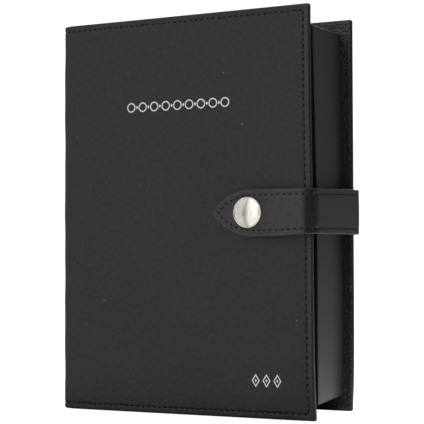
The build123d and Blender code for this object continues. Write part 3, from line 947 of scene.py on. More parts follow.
board("front_board", "front_cover", ["front_cover_board"], (3.2, 0.84, 0.85), (139.5, 2.46, 199.15), spring_point)
board("back_board", "box", ["back_cover_board"], (3.2, T - 2.46, 0.85), (139.5, T - 0.84, 199.15), lean_point)
board("top_wall_board", "box", ["tray_top_wall"], (4.65, 15.75, 190.05), (135.75, 48.95, 192.35), bent_wall)
board("bottom_wall_board", "box", ["tray_bottom_wall"], (4.65, 15.75, 7.65), (135.75, 48.95, 9.95), bent_wall)
board("base_board", "box", ["tray_base_board"], (4.65, 49.05, 7.65), (135.75, 50.95, 192.35), bent_wall)
board("fore_edge_wall_board", "box", ["tray_fore_edge_wall"], (133.45, 15.75, 10.05), (135.75, 48.95, 189.95), bent_wall)


# ------------------------------------------------------------------------------------------------ padded pieces: ring rolls and lid pad
def soft_roll_shape():
    """One ring roll as a slightly small closed form, about its own middle: x along the roll, y depth, z across."""
    half, rr, hgt = 62.1 - 0.5, 9.683 - 0.55, 22.0 - 0.5
    sect = []
    for k in range(13):
        th = math.pi * k / 12
        sect.append((-math.sin(th) * rr, -math.cos(th) * rr))
    prof2 = [(y - (hgt - rr) * 0, z) for y, z in sect]
    loop = [(y, z) for y, z in prof2] + [((hgt - rr) * f, rr) for f in (0.25, 0.5, 0.75, 1.0)] + [((hgt - rr), rr * f) for f in (0.5, 0.0, -0.5, -1.0)] + [((hgt - rr) * f, -rr) for f in (0.75, 0.5, 0.25)]
    xs = spaced((-half, half, 2.0))
    V, F = [], []
    m = len(loop)
    for x in xs:
        q = min(1.0, (half - abs(x)) / 3.0)
        k = 0.9 + 0.1 * math.sqrt(max(0.0, 1 - (1 - q) ** 2))
        for y, z in loop:
            V.append((x, (y - (hgt - rr)) * k + (hgt - rr), z * k))
    for i in range(len(xs) - 1):
        for q in range(m):
            a, b = i * m + q, i * m + (q + 1) % m
            F.append((a, b, b + m, a + m))
    F.append(tuple(range(m))[::-1])
    F.append(tuple((len(xs) - 1) * m + q for q in range(m)))
    return V, F


def puff(name, V, F, voxel, pinned, pressure, frames=20, scale=0.02, cap=None):
    """Blows a closed form up as cloth, held where pinned says, and gives the points back. The work is done at a larger size."""
    me = bpy.data.meshes.new(name)
    me.from_pydata([[c * scale for c in v] for v in V], [], F)
    ob = link(bpy.data.objects.new(name, me))
    bm = bmesh.new()
    bm.from_mesh(me)
    bmesh.ops.recalc_face_normals(bm, faces=bm.faces)
    bm.to_mesh(me)
    bm.free()
    re = ob.modifiers.new("re", "REMESH")
    re.mode, re.voxel_size = "VOXEL", voxel * scale
    dg = bpy.context.evaluated_depsgraph_get()
    me2 = bpy.data.meshes.new_from_object(ob.evaluated_get(dg))
    ob.modifiers.clear()
    ob.data = me2
    rest = np.array([v.co for v in me2.vertices]) / scale
    group = ob.vertex_groups.new(name="pin")
    hold = [i for i, p in enumerate(rest) if pinned(p)]
    group.add(hold, 1.0, "REPLACE")
    cl = ob.modifiers.new("cloth", "CLOTH")
    s = cl.settings
    s.quality, s.mass = 6, 0.25
    s.tension_stiffness = s.compression_stiffness = 18
    s.shear_stiffness, s.bending_stiffness = 8, 1.2
    s.use_pressure, s.uniform_pressure_force = True, pressure
    s.effector_weights.gravity = 0.0
    s.vertex_group_mass = "pin"
    s.pin_stiffness = 1.0
    cl.collision_settings.use_collision = False
    cl.collision_settings.use_self_collision = False
    cl.point_cache.frame_start, cl.point_cache.frame_end = 1, frames
    for f in range(1, frames + 1):
        scene.frame_set(f)
    dg = bpy.context.evaluated_depsgraph_get()
    soft = bpy.data.meshes.new_from_object(ob.evaluated_get(dg))
    ob.modifiers.clear()
    now = np.array([v.co for v in soft.vertices]) / scale
    scene.frame_set(1)
    move = now - rest
    far = np.linalg.norm(move, axis=1)
    limit = cap(rest) if cap is not None else np.full(len(rest), 1.0)
    k = np.minimum(1.0, limit / np.maximum(far, 1e-9))
    now = rest + move * k[:, None]
    faces = [tuple(p.vertices) for p in me2.polygons]
    bpy.data.objects.remove(ob)
    return now, faces


PITCH_R = (189.4 - 10.6) / 9
roll_V, roll_F = soft_roll_shape()
roll_pts, roll_faces = puff("roll_form", roll_V, roll_F, 1.6, lambda p: p[1] > 11.4, 3.0, cap=lambda r: np.full(len(r), 0.95))
ROLL_TOP = 26.4
for k in range(9):
    zc = 10.6 + PITCH_R * (k + 0.5)
    p = roll_pts.copy()
    if k % 2:
        p[:, 0] *= -1
    # each roll's velvet lies a little differently
    wob = np.array([noise.noise(Vector((q[0] / 17.0 + 9.1 * k, q[1] / 9.0, q[2] / 9.0))) for q in p])
    wrinkle = np.array([noise.noise(Vector((q[0] / 5.0 + 3.3 * k, q[1] / 14.0, q[2] / 14.0))) for q in p])
    up_part = np.clip((11.0 - p[:, 1]) / 12.0, 0, 1)
    p[:, 1] += up_part * (0.35 * wob + 0.10 * wrinkle)
    p[:, 2] *= 1 + 0.012 * wob
    p[:, 2] = np.clip(p[:, 2], -PITCH_R / 2 + 0.06, PITCH_R / 2 - 0.06)
    p[:, 1] = np.minimum(p[:, 1], 48.4 - 36.083)
    verts = np.stack([70.2 + p[:, 0], 36.083 + p[:, 1], zc + p[:, 2]], 1)
    verts[:, 2] = [tray_bend(70.0, y, z, 0)[2] for _, y, z in verts]
    faces = roll_faces if not k % 2 else [f[::-1] for f in roll_faces]
    ob = make(f"ring_roll_{k + 1}", verts, faces, M_VELVET, uv=np.stack([verts[:, 0], np.arctan2(p[:, 2], -p[:, 1]) * 10.0], 1), merge=0.0, sharp=80.0)
    sub = ob.modifiers.new("sub", "SUBSURF")
    sub.levels = sub.render_levels = 1
    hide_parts(f"ring_roll_sleeve_{k + 1}", f"ring_roll_foam_{k + 1}")
    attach(ob, "box")

# the velvet on the tray's floor, under the rolls
fl = edge_profile(0.2, 0.6, 0.1, 0.1, n=3)
la = axis_lines(spaced((7.6, 132.8, 6.0)), 7.6, 132.8, True, True, fl, 0.5, 0.1, 0.6)
lb = axis_lines(spaced((10.6, 189.4, 6.0)), 10.6, 189.4, True, True, fl, 0.5, 0.1, 0.6)
floor_velvet = closed_sheet("tray_floor_velvet", la, lb, (7.6, 132.8, 10.6, 189.4), 0.5, lambda U, V, D: (U, 48.4 + D, V), M_VELVET)
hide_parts("tray_floor_lining")
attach(floor_velvet, "box")


def pad_form():
    """The lid pad as a closed form a little smaller than its space: y is 0 on the cover and grows towards the tray."""
    x0, x1, z0, z1, hgt = 6.9, 132.5, 9.5, 190.5, 10.6
    rings = [(0.0, 0.0), (0.0, 4.0), (0.0, 7.6), (0.35, 8.9), (1.1, 9.9), (2.2, 10.45), (3.6, 10.6)]
    V, F = [], []
    per = None
    for ins, y in rings:
        path = ring_path(x0 + ins, x1 - ins, z0 + ins, z1 - ins, max(0.6, 4.0 - ins), step=200.0, n=6)
        per = len(path)
        V += [(a, y, b) for a, b, *_ in path]
    for r in range(len(rings) - 1):
        for q in range(per):
            a, b = r * per + q, r * per + (q + 1) % per
            F.append((a, b, b + per, a + per))
    F.append(tuple(range(per))[::-1])
    F.append(tuple((len(rings) - 1) * per + q for q in range(per)))
    return V, F


pad_V, pad_F = pad_form()


def pad_cap(r):
    e = np.minimum(np.minimum(r[:, 0] - 6.9, 132.5 - r[:, 0]), np.minimum(r[:, 2] - 9.5, 190.5 - r[:, 2]))
    return 0.7 + 3.6 * np.clip(e / 26.0, 0, 1) ** 0.8


pad_pts, pad_faces = puff("pad_form", pad_V, pad_F, 3.2, lambda p: p[1] < 1.2, 2.5, cap=pad_cap)
wob = np.array([noise.noise(Vector((q[0] / 26.0, q[2] / 29.0, 1.7))) for q in pad_pts])
fine = np.array([noise.noise(Vector((q[0] / 7.0, q[2] / 9.0, 5.1))) for q in pad_pts])
top_part = np.clip((pad_pts[:, 1] - 6) / 5, 0, 1)
pad_pts[:, 1] += top_part * (0.3 * wob + 0.07 * fine)
pad_pts[:, 1] = np.maximum(pad_pts[:, 1], 0.0)
dx, dy = spring(pad_pts[:, 0], pad_pts[:, 2])
pad_verts = np.stack([pad_pts[:, 0] + dx, 3.0 + pad_pts[:, 1] + dy, pad_pts[:, 2]], 1)
lid_pad = make("lid_pad", pad_verts, pad_faces, M_VELVET, uv=np.stack([pad_verts[:, 0], pad_verts[:, 2] + pad_verts[:, 1]], 1), merge=0.0, sharp=80.0)
sub = lid_pad.modifiers.new("sub", "SUBSURF")
sub.levels = sub.render_levels = 1
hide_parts("lid_pad_velvet", "lid_pad_foam")
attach(lid_pad, "front_cover")


# ------------------------------------------------------------------------------------------------ strap
STRAP_Z, HALF = 99.8, 11.25
U1 = 45.7
U2 = U1 + 6.15 * math.pi / 2
U3 = U2 + 50.65
U4 = U3 + 2.15 * math.pi / 2
U5 = U4 + 43.2
U_CUT = U2 + 25.3
TIP_LEN = 19.5


def half_width(u):
    """The point's outline: a pointed arch with a blunt, hand-trimmed apex."""
    q = np.clip(1 - u / TIP_LEN, 0, 1)
    return HALF * (1 - q**1.9) ** (1 / 1.4)


def tip_slope(u):
    rise = (half_width(u + 0.05) - half_width(np.maximum(u - 0.05, 0.0))) / (u + 0.05 - np.maximum(u - 0.05, 0.0))
    return np.maximum(1 / np.sqrt(1 + rise**2), 0.22)


def strap_lift(u):
    """How far the front leg bows away from the cover: pulled down by the snap, crest beside it, and a slope down to the bend."""
    up = np.clip((u - 20.0) / 9.5, 0, 1)
    down = np.clip((U1 + 6.0 - u) / (U1 + 6.0 - 29.5), 0, 1)
    crest = np.where(u < 29.5, up * up * (3 - 2 * up), (1 - (1 - down) ** 2) ** 2)
    return 0.95 * crest


def ease(t):
    t = np.clip(t, 0, 1)
    return t * t * (3 - 2 * t)


def strap_rise(u, low):
    """The strap runs a little uphill round the side, and its lower edge is drawn up from the snap on."""
    return 0.9 * ease((u - 28) / (U2 - 28)) + 0.4 * ease((u - U2) / 50.0) if low else 1.4 * ease((u - U2 + 4) / 50.0)


def strap_shape(U, V, D):
    Vn = np.sign(V) * np.maximum(0.0, half_width(U) - (HALF - np.abs(V)) / tip_slope(U))
    V = np.where(U < TIP_LEN, Vn, V)
    edge = 0.05 * np.sin(U * 0.9) * np.clip(np.abs(V) / HALF, 0, 1) + 0.04 * np.sin(U * 2.3 + 1.0) * np.sign(V)
    V = V + edge * np.clip(np.abs(V) / 4.0, 0, 1)
    k = np.clip(0.5 + V / (2 * HALF), 0, 1)
    V = V + 0.25 * (1 - ease(U / 24.0))
    V = V + k * strap_rise(U, False) + (1 - k) * strap_rise(U, True)
    p1 = np.clip((U - U1) / 6.15, 0, math.pi / 2)
    p2 = np.clip((U - U3) / 2.15, 0, math.pi / 2)
    # the point is drawn out a little and leans back to the cover
    X = np.where(U < U1, 90.5 + U - 0.8 * np.clip(1 - U / TIP_LEN, 0, 1) ** 2, 0)
    Y = np.where(U < U1, -4.9 + D - strap_lift(U) + 0.8 * np.clip(1 - U / 17.0, 0, 1) ** 2, 0)
    a = (U >= U1) & (U < U2)
    X = np.where(a, 136.2 + (7.3 - D) * np.sin(p1), X)
    Y = np.where(a, 2.4 - (7.3 - D) * np.cos(p1) - strap_lift(U), Y)
    a = (U >= U2) & (U < U3)
    X = np.where(a, 143.5 - D, X)
    Y = np.where(a, 2.4 + (U - U2), Y)
    X = X - 0.12 * ease((U - U1 - 3.0) / (U2 - U1 - 3.0)) * (1 - ease((U - U2) / 13.0))
    a = (U >= U3) & (U < U4)
    X = np.where(a, 140.2 + (3.3 - D) * np.cos(p2), X)
    Y = np.where(a, 53.05 + (3.3 - D) * np.sin(p2), Y)
    a = U >= U4
    X = np.where(a, 140.2 - (U - U4), X)
    Y = np.where(a, 56.35 - D, Y)
    return X, Y, STRAP_Z + V


STRAP_STITCH = 2.7


def tip_inset(u, v):
    """How far in from the outline a point lies, no further than the middle line of the point, and where it is across the strap."""
    e = HALF - np.abs(v)
    across = np.sign(v) * np.where(u < TIP_LEN, np.maximum(0.0, half_width(u) - e / tip_slope(u)), np.abs(v))
    return np.minimum(e, np.where(u < TIP_LEN, half_width(u) * tip_slope(u), 99.0)), across


def strap_relief(u, v, d):
    e, v = tip_inset(u, v)
    e = np.minimum(e, np.where(u > U4, U5 - u, 99.0))
    s = np.abs(e - STRAP_STITCH)
    groove = 0.22 * np.exp(-((s / 0.38) ** 2)) + 0.06 * np.exp(-((s / 1.3) ** 2))
    groove = groove * np.where((u > U2) & (u < U3), 0.35, 1.0)
    flat = np.clip(1 - d / 0.3, 0, 1)
    dome = -0.10 * np.clip(1 - (v / HALF) ** 2, 0, 1)
    snap = np.hypot(u - 18.5, v)
    seat = 0.16 * np.exp(-(((snap - 7.5) / 1.6) ** 2)) + 0.1 * np.exp(-((snap / 7.0) ** 4))
    crease = 0.07 * np.exp(-(((u - 28.7 - 0.02 * v * v / 3) / 0.55) ** 2)) + 0.04 * np.exp(-(((u - 31.4 + 0.25 * np.sin(v)) / 0.4) ** 2))
    # leather that goes round a bend crowds into faint creases
    bend = np.clip(1 - np.abs(u - (U1 + U2) / 2) / 7.0, 0, 1)
    crush = 0.035 * bend * np.sin(u * 3.1 + 0.4 * np.sin(v * 0.8))
    return flat * (groove + dome + seat + crease + crush + undulate(u, v, 0.5, 4.0))


def strap_wear(u, v, d):
    e = np.minimum(tip_inset(u, v)[0], np.where(u > U4, U5 - u, 99.0))
    return np.clip(np.exp(-((e / 0.5) ** 2)) * 1.1 + np.exp(-(((u - (U1 + U2) / 2) / 3.5) ** 2)) * 0.15, 0, 1)


def strap_lines(u0, u1, tail):
    us = spaced(*[(a, b, s) for a, b, s in ((0.0, 0.6, 0.1), (0.6, 5.0, 0.3), (5.0, 20.0, 0.6), (20.0, 27.0, 1.0), (27.0, 33.0, 0.3), (33.0, U1 - 1, 1.2), (U1 - 1, U2 + 1, 0.35), (U2 + 1, U_CUT, 1.6)) if not tail]
                 + [(a, b, s) for a, b, s in ((U_CUT, U3 - 0.6, 1.6), (U3 - 0.6, U4 + 0.6, 0.2), (U4 + 0.6, U5 - 5.2, 1.6), (U5 - 5.2, U5 - 0.3, 0.35)) if tail])
    vs = spaced((-HALF + 0.35, -HALF + 1.2, 0.3), (-HALF + 1.2, -HALF + 4.2, 0.22), (-HALF + 4.2, HALF - 4.2, 1.0), (HALF - 4.2, HALF - 1.2, 0.22), (HALF - 1.2, HALF - 0.35, 0.3))
    return us, vs


def strap_layer(name, tail, top, thick, R, r_in, mat, lining_side):
    us, vs = strap_lines(0, 0, tail)
    pr = edge_profile(R, thick, r_in, r_in, n=4)
    u_lo, u_hi = (U_CUT, U5) if tail else (0.0, U_CUT)
    la = axis_lines(us, u_lo, u_hi, False, tail, pr, 5.0 if tail else 0.5, r_in, thick)
    lb = axis_lines(vs, -HALF, HALF, True, True, pr, 5.0 if tail else 0.5, r_in, thick)

    def shape(U, V, D):
        return strap_shape(U, V, D + top)

    def pick(c, inner):
        # the cut edge is raw, the face isn't
        e = (c[:, 2] > R * 0.75) & (~inner)
        return np.where(e, 1, 0)

    relief = None if lining_side else strap_relief
    ob = closed_sheet(name, la, lb, (u_lo, u_hi, -HALF, HALF), 5.0 if tail else 0.5, shape, mat, mats=[mat, M_RAW], pick=pick, relief=relief, wear_and_painted_light=strap_wear, caps=(tail, not tail), sharp=50.0)
    return ob


STRAP_BACK = dict(start=spot(142.35, 53.05, 99.8), end=spot(140.2, 55.2, 99.8))
STRAP_FRONT = dict(start=spot(140.6, 0.4, 99.8), end=spot(136.2, -4.0, 99.8))


def bind_strap(ob, tail):
    if tail:
        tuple(STRAP_BACK["end"])
        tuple(STRAP_BACK["start"])
        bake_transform(ob)
    else:
        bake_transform(ob)


tip_outer = strap_layer("strap_front_leather", False, 0.0, 1.3, 0.32, 0.1, M_STRAP, False)
tip_inner = strap_layer("strap_front_lining", False, 1.32, 0.98, 0.14, 0.3, M_STRAP_LINING, True)
tail_outer = strap_layer("strap_back_leather", True, 0.0, 1.3, 0.32, 0.1, M_STRAP, False)
tail_inner = strap_layer("strap_back_lining", True, 1.32, 0.98, 0.14, 0.3, M_STRAP_LINING, True)


def clean_apex(ob):
    """Both sides of the point close on its middle line. The slivers that are left standing in that line go."""
    bm = bmesh.new()
    bm.from_mesh(ob.data)
    x1 = float(place(np.array([[91.4, 0.0, 0.0]]))[0, 0])
    fins = [f for f in bm.faces if max(v.co.x for v in f.verts) < x1 and abs(f.normal.z) > 0.97 and any(len(e.link_faces) > 2 or len(e.link_faces) == 1 for e in f.edges)]
    bmesh.ops.delete(bm, geom=fins, context="FACES_ONLY")
    bmesh.ops.delete(bm, geom=[e for e in bm.edges if not e.link_faces], context="EDGES")
    bmesh.ops.delete(bm, geom=[v for v in bm.verts if not v.link_faces], context="VERTS")
    bmesh.ops.holes_fill(bm, edges=[e for e in bm.edges if len(e.link_faces) == 1], sides=12)
    bm.to_mesh(ob.data)
    bm.free()


clean_apex(tip_outer)
clean_apex(tip_inner)
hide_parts("strap_tip_leather", "strap_front_bend_leather", "strap_side_leather")
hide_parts("strap_tip_lining", "strap_front_bend_lining", "strap_side_lining")
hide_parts("strap_tail_leather", "strap_back_bend_leather", "strap_side_leather")
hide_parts("strap_tail_lining", "strap_back_bend_lining", "strap_side_lining")
for ob, tail in ((tip_outer, False), (tip_inner, False), (tail_outer, True), (tail_inner, True)):
    bind_strap(ob, tail)


def on_strap(u, v, d):
    x, y, z = strap_shape(np.array([[u]]), np.array([[v]]), np.array([[d]]))
    return Vector((float(x[0, 0]), float(y[0, 0]), float(z[0, 0])))


def strap_stitches(name, tail):
    centres, along, normal = [], [], []

    def put(u, v, du, dv):
        dip = float(strap_relief(np.array([[u]]), np.array([[v]]), np.array([[0.0]]))[0, 0])
        p = on_strap(u, v, dip)
        centres.append(p)
        along.append(on_strap(u + du * 0.3, v + dv * 0.3, dip) - p)
        normal.append(on_strap(u, v, -1.0) - on_strap(u, v, 0.0))

    v0 = HALF - STRAP_STITCH
    if not tail:
        # one stitch across the apex, then equal steps along both sides of the point and on to the middle of the side leg
        uu = np.linspace(0.5, TIP_LEN + 0.5, 1500)
        vv = half_width(uu) - STRAP_STITCH / tip_slope(uu)
        uu, vv = uu[vv > 0], vv[vv > 0]
        run = np.concatenate([[0.0], np.cumsum(np.hypot(np.diff(uu), np.diff(vv)))])
        centres.append(on_strap(float(uu[0]) + 0.25, 0.0, 0.14))
        along.append(Vector((0, 0, 1)))
        normal.append(Vector((0, -1, 0)))
        for sgn in (-1, 1):
            gap = PITCH * (1.0 if sgn > 0 else 0.96)
            at = gap
            while at < run[-1]:
                u = float(np.interp(at, run, uu))
                put(u, sgn * v0, 1, 0)
                at += gap
            u = uu[-1] + at - run[-1]
            while u < U_CUT - 0.5:
                put(u, sgn * v0, 1, 0)
                u += PITCH
    else:
        for sgn in (-1, 1):
            u = U_CUT + 0.9
            while u < U5 - STRAP_STITCH - 1.4:
                put(u, sgn * v0, 1, 0)
                u += PITCH
        v = -v0 + 1.6
        while v < v0 - 0.8:
            put(U5 - STRAP_STITCH, v, 0, 1)
            v += PITCH
    ob = make_loose(name, *stitch_mesh(centres, along, normal, 1.75, 0.37, 0.03, 8 if tail else 7), M_THREAD)
    return ob


tip_stitches = strap_stitches("strap_front_stitches", False)
tail_stitches = strap_stitches("strap_back_stitches", True)
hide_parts("strap_tip_stitching", "strap_side_stitching")
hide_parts("strap_tail_stitching", "strap_side_stitching")
bind_strap(tip_stitches, False)
bind_strap(tail_stitches, True)


def fuzz(name, tail, count, seed):
    """Loose fibres along the strap's cut edges."""
    r = random.Random(seed)
    V, F, UV = [], [], []
    lo, hi = (U_CUT + 1, U5 - 6) if tail else (0.3, U_CUT - 1)
    for k in range(count):
        u = lo + (hi - lo) * r.random() ** (1.0 if tail else 1.35)
        sgn = r.choice((-1, 1))
        d = r.uniform(0.25, 2.1)
        p0 = on_strap(u, sgn * (HALF - 0.12), d)
        p1 = on_strap(u, sgn * HALF * 1.0, d)
        out = Vector((0, 0, sgn))
        if u < TIP_LEN and not tail:
            s = float(tip_slope(np.array(u)))
            out = Vector((-math.sqrt(max(0, 1 - s * s)), 0, sgn * s))
        tangent = (on_strap(u + 0.4, sgn * HALF, d) - on_strap(u, sgn * HALF, d)).normalized()
        length = r.uniform(0.35, 0.9) * (1.9 if r.random() < 0.08 else 1.0)
        lean = tangent * r.uniform(-1.4, 1.4) + out * r.uniform(0.35, 1.0)
        lean.normalize()
        curl = tangent * r.uniform(-0.6, 0.6)
        rad = r.uniform(0.022, 0.04)
        base = len(V)
        pts = [p0, p0 + lean * length * 0.5 + curl * length * 0.1, p0 + lean * length + curl * length * 0.45]
        for i, p in enumerate(pts[:2]):
            for q in range(3):
                th = 2 * math.pi * q / 3
                V.append(p + Vector((math.cos(th) * rad, math.sin(th) * rad, math.cos(th + 1) * rad * 0.5)))
                UV.append((u, i * length))
        V.append(pts[2])
        UV.append((u, 2 * length))
        for q in range(3):
            a, b = base + q, base + (q + 1) % 3
            F.append((a, b, b + 3, a + 3))
            F.append((a + 3, b + 3, base + 6))
        F.append((base + 2, base + 1, base))
    ob = make_loose(name, V, F, UV, M_RAW)
    bind_strap(ob, tail)


fuzz("strap_front_edge_fibres", False, 420, 21)
fuzz("strap_back_edge_fibres", True, 220, 22)


# ------------------------------------------------------------------------------------------------ press snap
def lathe(name, profile, x, z, mat, body, node, sharp=30.0, n=96):
    V, F, UV = [], [], []
    m = len(profile)
    for i in range(n):
        th = 2 * math.pi * i / n
        for k, (r, y) in enumerate(profile):
            V.append((x + r * math.cos(th), y, z + r * math.sin(th)))
            UV.append((th * 7.0, r))
    for i in range(n):
        for k in range(m - 1):
            a, b = i * m + k, i * m + k + 1
            c, d = ((i + 1) % n) * m + k + 1, ((i + 1) % n) * m + k
            F.append((a, b, c, d))
    ob = make(name, np.array(V), F, mat, uv=UV, sharp=sharp)
    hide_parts(node)
    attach(ob, body)
    return ob


SNX, SNZ = 109.0, 100.0
# a shallow dome that runs into a rolled rim, then the rim's outside, and the shank under it
cap = [(0.0, -6.78)]
for k in range(1, 15):
    r = 6.55 * k / 14
    cap.append((r, -6.78 + 0.92 * (r / 6.55) ** 2.15))
cap += [(6.75, -5.79), (6.86, -5.77)]
for k in range(0, 9):
    th = math.pi * (1.02 - k / 8 * 1.02) + 0.0
    cap.append((7.2 + 0.34 * math.cos(th), -5.6 - 0.34 * math.sin(th)))
cap += [(7.5, -5.3), (7.42, -5.08), (7.2, -4.93), (1.85, -4.9), (1.85, -2.05), (2.35, -2.05), (2.35, -1.8), (0.0, -1.8)]
lathe("snap_cap_detailed", cap, SNX, SNZ, M_CAP, "strap_end", "snap_cap", sharp=42.0, n=128)
lathe("snap_socket_detailed", [(1.95, -2.6), (5.45, -2.6), (5.58, -2.5), (5.6, -2.2), (5.35, -1.4), (5.1, -0.8), (4.9, -0.6), (4.7, -0.55), (3.6, -0.55), (3.25, -0.6), (3.15, -0.8), (3.3, -1.1), (3.3, -2.1), (1.95, -2.1), (1.95, -2.6)],
      SNX, SNZ, M_SNAP, "strap_end", "snap_socket")
lathe("snap_stud_detailed", [(1.62, 0.05), (4.6, 0.05), (4.6, -0.18), (4.45, -0.28), (4.0, -0.33), (2.7, -0.34), (2.48, -0.45), (2.45, -0.75), (2.6, -0.9), (2.8, -1.0), (2.84, -1.1), (2.8, -1.2), (2.62, -1.36), (2.45, -1.45), (1.62, -1.45), (1.62, 0.05)],
      SNX, SNZ, M_SNAP, "front_cover", "snap_stud")


# ------------------------------------------------------------------------------------------------ pressed silver ornament
def foil(name, loops):
    """Flat foil shapes on the front cover. Each is a closed outline, or an outer and an inner outline for a ring, in x and z."""
    V, F = [], []

    def add(x, z, d):
        dip = float(cover_relief(np.array([[x]]), np.array([[z]]), np.array([[0.0]]))[0, 0])
        ddx, ddy = spring(np.array(x), np.array(z))
        V.append((x + float(ddx), dip + float(ddy) + d, z))
        return len(V) - 1

    top, low = -0.035, 0.12
    for outer, inner in loops:
        n = len(outer)
        o_t, o_l = [add(*p, top) for p in outer], [add(*p, low) for p in outer]
        if inner:
            i_t, i_l = [add(*p, top) for p in inner], [add(*p, low) for p in inner]
            for q in range(n):
                w = (q + 1) % n
                F += [(o_t[q], o_t[w], i_t[w], i_t[q]), (o_l[w], o_l[q], i_l[q], i_l[w]), (o_t[w], o_t[q], o_l[q], o_l[w]), (i_t[q], i_t[w], i_l[w], i_l[q])]
        else:
            F += [tuple(o_t), tuple(o_l[::-1])]
            for q in range(n):
                w = (q + 1) % n
                F.append((o_t[w], o_t[q], o_l[q], o_l[w]))
    ob = make(name, np.array(V), F, M_FOIL, merge=0.0, sharp=30.0)
    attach(ob, "front_cover")
    return ob


def circle(cx, cz, rx, rz, n=28):
    return [(cx + rx * math.cos(2 * math.pi * k / n), cz + rz * math.sin(2 * math.pi * k / n)) for k in range(n)]


def rect(x0, x1, z0, z1):
    return [(x0, z0), (x1, z0), (x1, z1), (x0, z1)]


def lozenge(cx, cz, a, b):
    return [(cx - a, cz), (cx, cz - b), (cx + a, cz), (cx, cz + b)]


orn = []
cz, x = 154.9, 40.7
while x < 95.5:
    orn.append((circle(x, cz, 2.45, 2.45), circle(x, cz, 1.85, 1.85)))
    if x + 6.75 < 95.5:
        orn.append((lozenge(x + 3.375, cz, 0.62, 0.95), None))
    x += 6.75
foil("foil_ring_row", orn)
orn = []
for k in range(3):
    cx = 110.2 + 5.75 * k
    orn.append((lozenge(cx, 18.45, 2.1, 3.3), lozenge(cx, 18.45, 1.45, 2.3)))
    orn.append((lozenge(cx, 18.45, 0.55, 0.85), None))
foil("foil_lozenges", orn)

# ------------------------------------------------------------------------------------------------ carried-over CAD nodes
for name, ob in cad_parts.items():
    if ob.hide_render:
        continue
    mat = M_BOARD
    if name == "snap_post":
        mat = M_SNAP
    ob.data.materials.clear()
    ob.data.materials.append(mat)

# ------------------------------------------------------------------------------------------------ floor, backdrop, lights


def stage_material(name, colour, rough, emit):
    m = Nodes(name)
    g = m.noise(m.coords(False, 0.02), 1.0, 3.0)
    m.set(Base_Color=m.ramp(g, [(0.3, tuple(c * 0.985 for c in colour)), (0.7, colour)]), Roughness=rough)
    m.bsdf.inputs["Emission Color"].default_value = (1, 1, 1, 1)
    m.bsdf.inputs["Emission Strength"].default_value = emit
    return m.mat


def disc_stage(name, radius, z, mat, inner=0.0):
    V, F = [], []
    n = 96
    for k in range(n):
        th = 2 * math.pi * k / n
        V.append((radius * math.cos(th), radius * math.sin(th), z))
    F.append(tuple(range(n)))
    me = bpy.data.meshes.new(name)
    me.from_pydata(V, [], F)
    me.materials.append(mat)
    ob = link(bpy.data.objects.new(name, me))
    return ob


floor = disc_stage("floor", 6.0, -0.0004, stage_material("floor_paper", (0.93, 0.93, 0.93), 0.9, 1.0))
floor.visible_diffuse = floor.visible_glossy = floor.visible_shadow = False


def bounce_floor():
    """The light that the paper throws back: bright behind and beside the case, less in front, and dark right under it."""
    n = 71
    g = np.linspace(-1, 1, n)
    g = 1.0 * np.sign(g) * (0.25 * np.abs(g) + 0.75 * np.abs(g) ** 3)
    X, Y = np.meshgrid(g, g, indexing="ij")
    d = np.hypot(np.maximum(np.abs(X) - 0.072, 0), np.maximum(np.abs(Y - 0.003) - 0.029, 0))
    open_sky = np.clip(d / 0.035, 0, 1) ** 0.7
    back = np.clip((Y + 0.02) / 0.08, 0, 1)
    away = np.hypot(X - 0.065, Y - 0.02)
    turn = np.degrees(np.arctan2(X - 0.037, -(Y + 0.03)))
    front = np.interp(turn, [-180, -60, -36, -33, -27, -24, 8, 24, 110, 140, 180], [0.6, 0.6, 0.6, 0.22, 0.22, 0.95, 0.95, 0.22, 0.15, 0.5, 0.5])
    beside = np.exp(-np.maximum(X - 0.07, 0) / 0.075) * np.clip((X - 0.064) / 0.008, 0, 1) * np.clip((Y + 0.04) / 0.05, 0, 1) * np.exp(-np.maximum(Y - 0.05, 0) / 0.12)
    glow = open_sky * (front * (1 - back) + back * (0.22 + 0.70 * np.exp(-away / 0.40))) + 1.42 * beside
    V = np.stack([X.ravel(), Y.ravel(), np.full(X.size, -0.0002)], 1)
    me = bpy.data.meshes.new("floor_bounce")
    me.from_pydata(V.tolist(), [], [tuple(int(q) for q in f) for f in quads(n, n, flip=True)])
    a = me.attributes.new("glow", "FLOAT", "POINT")
    a.data.foreach_set("value", glow.astype(np.float32).ravel())
    m = Nodes("floor_bounce_paper")
    m.set(Base_Color=m.ramp(m.noise(m.coords(False, 0.02), 1.0, 3.0), [(0.3, (0.16, 0.16, 0.16)), (0.7, (0.18, 0.18, 0.18))]), Roughness=0.95)
    m.bsdf.inputs["Emission Color"].default_value = (1, 1, 1, 1)
    m.link(m.attr("glow"), m.bsdf.inputs["Emission Strength"])
    me.materials.append(m.mat)
    ob = link(bpy.data.objects.new("floor_bounce", me))
    ob.visible_camera = False
    return ob


bounce_floor()


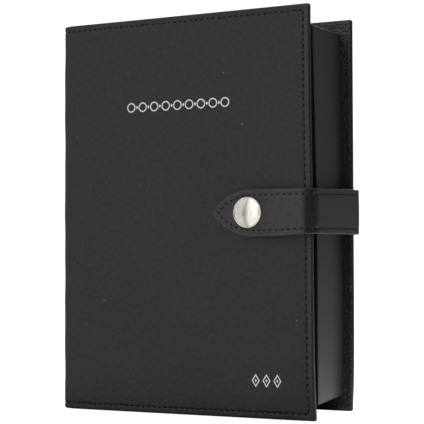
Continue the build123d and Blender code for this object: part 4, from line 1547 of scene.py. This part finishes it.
def backdrop():
    V, F = [], []
    n, rows = 96, [(5.6, -0.01), (5.6, 6.0)]
    for r, z in rows:
        for k in range(n):
            th = 2 * math.pi * k / n
            V.append((r * math.cos(th), r * math.sin(th), z))
    for k in range(n):
        a, b = k, (k + 1) % n
        F.append((a, b, b + n, a + n))
    me = bpy.data.meshes.new("backdrop")
    me.from_pydata(V, [], F)
    me.materials.append(stage_material("backdrop_paper", (0.93, 0.93, 0.93), 0.95, 1.0))
    ob = link(bpy.data.objects.new("backdrop", me))
    ob.visible_diffuse = False
    ob.visible_glossy = False
    ob.visible_shadow = False
    return ob


backdrop()

world = bpy.data.worlds.new("world")
world.use_nodes = True
world.node_tree.nodes["Background"].inputs["Color"].default_value = (1.0, 1.0, 1.0, 1)
world.node_tree.nodes["Background"].inputs["Strength"].default_value = 0.08
scene.world = world


def panel(name, azimuth, width, low, high, level, distance=1.6, colour=(1, 1, 1)):
    """A soft panel round the object. azimuth 0 is in front of the front cover and 90 is beside the fore-edge; width, low and high
    are angles, and level is how bright it looks."""
    mid = math.radians((low + high) / 2)
    h = 2 * distance * math.tan(math.radians(high - low) / 2)
    w = 2 * distance * math.tan(math.radians(width) / 2)
    a = math.radians(azimuth)
    data = bpy.data.lights.new(name, "AREA")
    data.shape, data.size, data.size_y = "RECTANGLE", w, h
    data.energy, data.color = level * math.pi * w * h, colour
    ob = link(bpy.data.objects.new(name, data))
    d = distance * math.cos(mid)
    target = Vector((0, 0, 0.1))
    ob.location = Vector((math.sin(a) * d, -math.cos(a) * d, distance * math.sin(mid))) + target
    ob.rotation_euler = (target - ob.location).to_track_quat("-Z", "Y").to_euler()
    ob.visible_camera = False
    return ob


panel("front_left_panel", -58, 50, -15, 56, 0.62)
panel("front_gap_panel", -28, 9, -15, 56, 0.31, colour=(1.0, 0.97, 0.93))
panel("front_panel", -17.5, 11, -15, 56, 1.03)
panel("front_right_panel", -2.5, 19, -15, 56, 1.22)
panel("front_fade_panel", 11, 8, -15, 56, 0.45)
panel("back_panel", 212, 62, 4, 50, 1.1)
panel("side_panel", 152, 40, -15, 40, 0.14)
panel("side_high_panel", 86, 52, 36, 70, 0.52)
panel("overhead_panel", 0, 60, 68, 112, 0.5)

scene.view_settings.view_transform = "Standard"
scene.view_settings.look = "None"
scene.view_settings.exposure = 0.0
scene.view_settings.gamma = 1.0
scene.cycles.use_denoising = True
